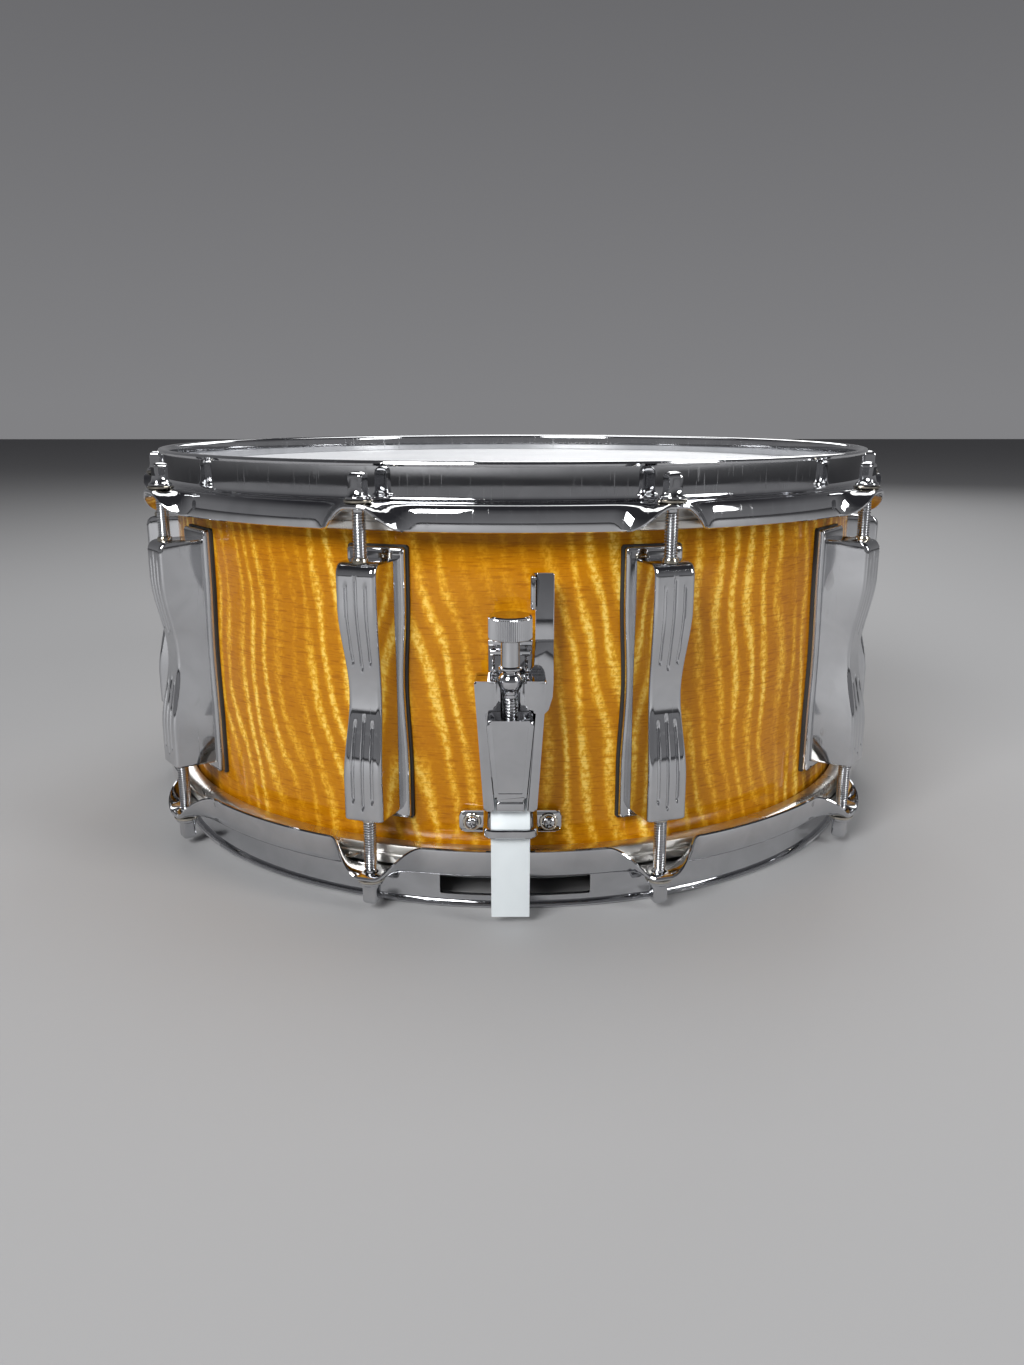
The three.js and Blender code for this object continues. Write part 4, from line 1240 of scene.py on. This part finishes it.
# ------------------------------------------------------------------------------ carriage
# The carriage is a tapered die-cast tray that the lever lets down. Its top is forked for the
# knob's ball, and the clamp slide runs in the groove between its rails.

CARRIAGE_BACK = -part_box("strainer_carriage")[1].y / MM
CARRIAGE_FRONT = -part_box("strainer_carriage")[0].y / MM
CARRIAGE_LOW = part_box("strainer_carriage")[0].z / MM
CARRIAGE_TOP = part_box("strainer_carriage")[1].z / MM
GROOVE_BACK = 193.8
FORK_HALF = 5.5


def between(z, low, high, a, b):
    """The value at height z of a line from a at low to b at high."""
    return a + (b - a) * (z - low) / (high - low)


def rail_outline(side):
    """A rail's outline: it follows the tray outside, and the groove and the fork inside."""
    outer = [(between(z, CARRIAGE_LOW, CARRIAGE_TOP, 10.5, 14.0), z) for z in (CARRIAGE_LOW, CARRIAGE_TOP)]
    inner = [
        (FORK_HALF, CARRIAGE_TOP),
        (FORK_HALF, 93.4),
        (between(92.6, 57.5, 90, 6.8, 9.7), 92.4),
        (between(CARRIAGE_LOW, 57.5, 90, 6.8, 9.7), CARRIAGE_LOW),
    ]
    points = rounded_outline(outer + inner, [1.2, 1.0, 0.8, 1.2, 1.0, 0.4])
    return [(side * x, z) for x, z in points][:: side]


# The back of the tray is notched from the top for the knob's ball and the lever's pivot.
tray_outline = rounded_outline(
    [
        (-10.5, CARRIAGE_LOW), (10.5, CARRIAGE_LOW), (14, CARRIAGE_TOP), (5.4, CARRIAGE_TOP),
        (3.9, 98.5), (3.9, 87), (-3.9, 87), (-3.9, 98.5), (-5.4, CARRIAGE_TOP), (-14, CARRIAGE_TOP),
    ],
    [1.2, 1.2, 1.2, 1.0, 2.5, 2.0, 2.0, 2.5, 1.0, 1.2],
)
carriage_shape = joined(
    plate_shape(tray_outline, CARRIAGE_BACK, GROOVE_BACK, 0.4),
    plate_shape(rail_outline(1), GROOVE_BACK - 1, CARRIAGE_FRONT, 0.8, 3),
    plate_shape(rail_outline(-1), GROOVE_BACK - 1, CARRIAGE_FRONT, 0.8, 3),
)
make(
    "carriage_tray",
    moved(carriage_shape, strainer_shift),
    chrome,
    body="carriage",
    nodes=["strainer_carriage"],
)

# ------------------------------------------------------------------------------ clamp slide
# The clamp slide is a block that the knob's screw lifts and lowers. Its face has a sunk panel,
# left blank, and a polished jaw at its foot grips the strap.

SLIDE_BACK = -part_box("clamp_slide")[1].y / MM
SLIDE_FRONT = -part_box("clamp_slide")[0].y / MM
SLIDE_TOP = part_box("clamp_slide")[1].z / MM
SLIDE_LOW = 57.5
JAW_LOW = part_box("clamp_jaw")[0].z / MM
JAW_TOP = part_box("clamp_jaw")[1].z / MM
KNOB_AXIS = -(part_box("tension_knob")[0].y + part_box("tension_knob")[1].y) / 2 / MM

slide_outline = rounded_outline(
    [(-6.2, SLIDE_LOW), (6.2, SLIDE_LOW), (9.2, SLIDE_TOP), (-9.2, SLIDE_TOP)], [0.8, 0.8, 1.8, 1.8]
)
panel_outline = rounded_outline(
    [(-4.7, SLIDE_LOW + 2.4), (4.7, SLIDE_LOW + 2.4), (7.0, SLIDE_TOP - 2.2), (-7.0, SLIDE_TOP - 2.2)],
    0.5,
)
slide_body = carved(
    plate_shape(slide_outline, SLIDE_BACK, SLIDE_FRONT, 1.1, 3),
    plate_shape(panel_outline, SLIDE_FRONT - 0.45, SLIDE_FRONT + 2, 0),
    moved(spindle([(0, 0), (3.3, 0), (3.3, 30), (0, 30)], 28), upright(0, KNOB_AXIS, 74)),
)
slide_shape = joined(
    slide_body,
    box_shape(-5.2, 5.2, SLIDE_BACK, 197.9, JAW_LOW, SLIDE_LOW + 1.5, 0.4),
)
make(
    "slide_block",
    moved(slide_shape, strainer_shift),
    chrome,
    body="clamp",
    nodes=["clamp_slide"],
)
jaw_shape = joined(
    box_shape(-5.6, 5.6, 200.7, 203.9, JAW_LOW, JAW_TOP - 2.1, 0.8, 4),
    box_shape(-5.3, 5.3, 200.9, 203.5, JAW_TOP - 2.4, JAW_TOP, 0.5, 3),
)
make(
    "strap_jaw",
    moved(jaw_shape, strainer_shift),
    chrome,
    body="clamp",
    nodes=["clamp_jaw"],
)

# ------------------------------------------------------------------------------ tension knob
# The knob is turned from brass and chromed: a knurled head, a plain shank with a collar, a ball
# that hangs in the carriage's fork, and a screw that runs down into the clamp slide.

HEAD_LOW = 119.8
KNURLS = 60


def knurled_head(low, high, radius):
    """A round head with upright knurls and plain chamfered rims."""
    rows = [
        (0.0, low, 0), (radius - 1.0, low, 0), (radius - 0.35, low + 0.35, 0), (radius, low + 0.7, 1),
        (radius, high - 1.3, 1), (radius - 0.3, high - 0.9, 0), (radius - 0.25, high - 0.6, 0),
        (radius - 0.7, high - 0.1, 0), (radius - 1.3, high, 0), (radius - 2.2, high - 0.12, 0),
        (0.0, high - 0.12, 0),
    ]
    points, faces = [], []
    sides = KNURLS * 4
    for r, z, ribbed in rows:
        for i in range(sides):
            angle = 2 * math.pi * i / sides
            ridge = (0.0, -0.22, -0.42, -0.22)[i % 4] * ribbed
            points.append(((r + ridge) * math.cos(angle), (r + ridge) * math.sin(angle), z))
    for i in range(len(rows) - 1):
        for j in range(sides):
            k = (j + 1) % sides
            faces.append((i * sides + j, i * sides + k, (i + 1) * sides + k, (i + 1) * sides + j))
    return points, faces


stem = [
    (0, 96.5), (2.9, 96.5), (3.1, 96.9), (3.1, 97.9), (2.75, 98.2), (2.75, 98.7), (3.4, 98.9)
]
stem += [(4.85 * math.sin(math.radians(a)), 103.0 - 4.85 * math.cos(math.radians(a)))
         for a in range(48, 145, 8)]
stem += [
    (3.3, 107.0), (3.4, 107.4), (4.3, 107.7), (4.6, 108.1), (4.6, 108.7), (4.3, 109.1), (3.75, 109.3),
    (3.7, 110), (3.7, HEAD_LOW + 0.5), (0, HEAD_LOW + 0.5),
]
knob_shape = joined(
    knurled_head(HEAD_LOW, HEAD_LOW + 9.6, 8.5),
    spindle(stem, 40),
    threaded(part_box("tension_knob")[0].z / MM, 97.2, 3.15, 2.55, 1.25, 24, 8),
)
make(
    "knurled_knob",
    moved(knob_shape, upright(STRAINER_X, KNOB_AXIS, 0)),
    chrome,
    body="knob",
    nodes=["tension_knob"],
    crease=25.0,
)

# ------------------------------------------------------------------------------ snare straps
# The straps are strips of white polyester, 16 mm wide. The front one comes in from the snares
# through the gate, goes up behind the guide loop into the clamp, and its spare end folds back and
# hangs down in front. The back one is clamped in the butt.

STRAP_HALF = 7.8
STRAP_THICK = 0.8
white_strip = soft_plastic("white_strip", (0.74, 0.79, 0.81), (0.68, 0.73, 0.75), 0.34, 500.0, 0.00006)


def smooth_path(points, steps=10):
    """A smooth line through 2-D points."""
    ends = [2 * Vector(points[0]) - Vector(points[1]), *map(Vector, points)]
    ends.append(2 * Vector(points[-1]) - Vector(points[-2]))
    line = []
    for p0, p1, p2, p3 in zip(ends, ends[1:], ends[2:], ends[3:]):
        for i in range(steps):
            t = i / steps
            line.append(
                tuple(
                    0.5
                    * (
                        2 * p1
                        + (p2 - p0) * t
                        + (2 * p0 - 5 * p1 + 4 * p2 - p3) * t * t
                        + (3 * p1 - p0 - 3 * p2 + p3) * t**3
                    )
                )
            )
    line.append(points[-1])
    return line


def strip_shape(path, half, thickness):
    """A flat strip whose middle runs along (n, z) points, its edges rounded."""
    section = []
    bead = thickness / 2
    for side in (1, -1):
        for i in range(5):
            a = math.radians(-90 + 45 * i) if side > 0 else math.radians(90 + 45 * i)
            section.append((side * (half - bead * 0.6) + bead * 0.6 * math.cos(a), bead * math.sin(a)))
    points, faces = [], []
    count = len(section)
    for i, (n, z) in enumerate(path):
        before, after = Vector(path[max(i - 1, 0)]), Vector(path[min(i + 1, len(path) - 1)])
        along = (after - before).normalized()
        for x, out in section:
            points.append((x, -(n - along.y * out), z + along.x * out))
    for i in range(len(path) - 1):
        for j in range(count):
            k = (j + 1) % count
            faces.append((i * count + j, i * count + k, (i + 1) * count + k, (i + 1) * count + j))
    faces.append(tuple(reversed(range(count))))
    faces.append(tuple(range((len(path) - 1) * count, len(path) * count)))
    return points, faces


def plain_mesh(name, shape, finish):
    """A strap's object before it is given to the frame."""
    strip = bpy.data.objects.new(name, mesh_of(name, shape))
    bpy.context.scene.collection.objects.link(strip)
    strip.data.materials.append(finish)
    strip.data.shade_smooth()
    strip.data.set_sharp_from_angle(angle=math.radians(50))
    return strip


WIRE_Z = (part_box("snare_wires")[0].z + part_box("snare_wires")[1].z) / 2 / MM
STRAP_IN = 168.3
gate_path = smooth_path([(192.4, 15), (189.2, 11.8), (182, 9.5), (176.5, 8.2), (STRAP_IN, WIRE_Z - 0.2)])
rise_path = smooth_path([(198.7, 54.8), (198.7, 50), (197.4, 40), (194.6, 24), (192.4, 15)])
strap_rise = plain_mesh(
    "strap_rise", moved(strip_shape(rise_path, STRAP_HALF, STRAP_THICK), strainer_shift), white_strip
)
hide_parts("snare_strap_front")
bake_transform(strap_rise)
strap_gate = plain_mesh(
    "strap_gate", moved(strip_shape(gate_path, STRAP_HALF, STRAP_THICK), strainer_shift), white_strip
)
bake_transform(strap_gate)

tail_path = smooth_path(
    [(199.9, 56.8), (199.9, 52), (200.0, 48.6), (202.4, 45.2), (203.5, 41.5), (203.0, 33), (201.2, 18),
     (199.2, 3.8)]
)
make(
    "strap_tail",
    moved(strip_shape(tail_path, STRAP_HALF, STRAP_THICK), strainer_shift),
    white_strip,
    body="clamp",
    nodes=["snare_strap_tail"],
    crease=50.0,
)
back_path = smooth_path([(184.7, 50.5), (184.7, 45), (184.9, 40.5), (189.6, 34), (192.9, 28), (192.6, 20), (192.4, 15)])
back_strip = joined(
    strip_shape(back_path, STRAP_HALF, STRAP_THICK), strip_shape(gate_path, STRAP_HALF, STRAP_THICK)
)
make("strap_back", back_strip, white_strip, nodes=["snare_strap_back"], turn=180, crease=50.0)

# ------------------------------------------------------------------------------ butt
# Opposite the strainer, the butt plate is a cast chromed block. A clamp bar, pulled down by two
# square-headed screws, holds the end of the back strap, and two screws fix the block to the shell.

BUTT_HALF = 14.5
BUTT_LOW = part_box("butt_base")[0].z / MM
BUTT_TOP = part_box("butt_base")[1].z / MM
BUTT_FACE = 184.0
CLAMP_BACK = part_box("butt_clamp")[0].y / MM
CLAMP_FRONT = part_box("butt_clamp")[1].y / MM
CLAMP_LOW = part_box("butt_clamp")[0].z / MM
CLAMP_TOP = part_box("butt_clamp")[1].z / MM
CLAMP_X, CLAMP_Z = 10.8, 46.0
MOUNT_X, MOUNT_Z = 8.0, 57.0

butt_outline = rounded_outline(
    [(-BUTT_HALF, BUTT_LOW), (BUTT_HALF, BUTT_LOW), (BUTT_HALF, 52), (11.5, BUTT_TOP), (-11.5, BUTT_TOP),
     (-BUTT_HALF, 52)],
    [2, 2, 3, 3, 3, 3],
)
clamp_outline = rounded_outline(
    [(-BUTT_HALF, CLAMP_LOW), (BUTT_HALF, CLAMP_LOW), (BUTT_HALF, CLAMP_TOP), (-BUTT_HALF, CLAMP_TOP)], 2.2
)
make(
    "butt_block",
    plate_shape(butt_outline, BASE_BACK, BUTT_FACE, 0.9, 3),
    chrome,
    nodes=["butt_base"],
    turn=180,
)
make(
    "butt_clamp_bar",
    plate_shape(clamp_outline, CLAMP_BACK, CLAMP_FRONT, 1.0, 3),
    chrome,
    nodes=["butt_clamp"],
    turn=180,
)
for side, word in ((-1, "left"), (1, "right")):
    head = joined(
        key_head(1.2),
        spindle([(2.2, 0.05), (4.8, 0.05), (5.0, 0.3), (5.0, 1.0), (4.7, 1.2), (2.2, 1.2), (2.2, 0.05)], 32),
    )
    make(
        f"butt_key_screw_{word}",
        moved(head, outward(side * CLAMP_X, CLAMP_FRONT + 0.25, CLAMP_Z)),
        chrome,
        nodes=[f"butt_clamp_screw_{word}"],
        turn=180,
    )
    seat = outward(side * MOUNT_X, BUTT_FACE + 0.05, MOUNT_Z) @ Matrix.Rotation(0.5 * side, 4, "Z")
    make(
        f"butt_cross_screw_{word}",
        moved(carved(cross_screw(3.3, 2.3), *cross_recess(1.9, 1.5, 2.3)), seat),
        chrome,
        nodes=[f"butt_mount_screw_{word}"],
        turn=180,
    )

# ------------------------------------------------------------------------------ snare wires
# Twenty strands of coiled steel wire, soldered at each end to a thin plate that the strap pulls.
# They lie against the snare-side head.

STRANDS = 20
STRAND_PITCH = 3.0
COIL_RADIUS = 0.72
WIRE_RADIUS = 0.2
COIL_PITCH = 1.7
STRAND_HALF = 154.0
PLATE_HALF = 30.5
PLATE_OUTER = 168.0

strand_steel = plated_metal("strand_steel", (0.60, 0.60, 0.59), (0.47, 0.46, 0.44), 0.22, 2.0)


def coil(x):
    """One strand: a wire wound round a line along the drum, from plate to plate."""
    points, faces = [], []
    turns = 2 * STRAND_HALF / COIL_PITCH
    count = int(turns * 8)
    sides = 4
    for i in range(count + 1):
        angle = 2 * math.pi * turns * i / count
        along = -STRAND_HALF + 2 * STRAND_HALF * i / count
        for j in range(sides):
            a = math.pi / 4 + 2 * math.pi * j / sides
            reach = COIL_RADIUS + WIRE_RADIUS * math.cos(a)
            points.append(
                (
                    x + reach * math.cos(angle),
                    along + WIRE_RADIUS * math.sin(a),
                    WIRE_Z + reach * math.sin(angle),
                )
            )
    for i in range(count):
        for j in range(sides):
            k = (j + 1) % sides
            faces.append((i * sides + j, i * sides + k, (i + 1) * sides + k, (i + 1) * sides + j))
    faces.append(tuple(reversed(range(sides))))
    faces.append(tuple(range(count * sides, (count + 1) * sides)))
    return points, faces


end_plate = joined(
    box_shape(-PLATE_HALF, PLATE_HALF, 153, PLATE_OUTER, WIRE_Z - 0.75, WIRE_Z - 0.2, 0.2),
    box_shape(-PLATE_HALF, PLATE_HALF, 149, 156, WIRE_Z + 0.0, WIRE_Z + 0.45, 0.15),
    *[
        moved(
            spindle([(0, -3), (0.6, -2.6), (0.95, -1), (0.95, 2), (0.6, 3.6), (0, 4)], 10),
            outward((i - (STRANDS - 1) / 2) * STRAND_PITCH, 154, WIRE_Z - 0.1),
        )
        for i in range(STRANDS)
    ],
)
wires = joined(
    end_plate,
    moved(end_plate, about_axis(180)),
    *[coil((i - (STRANDS - 1) / 2) * STRAND_PITCH) for i in range(STRANDS)],
)
make("snare_strands", wires, strand_steel, body="wires", nodes=["snare_wires"], crease=60.0)
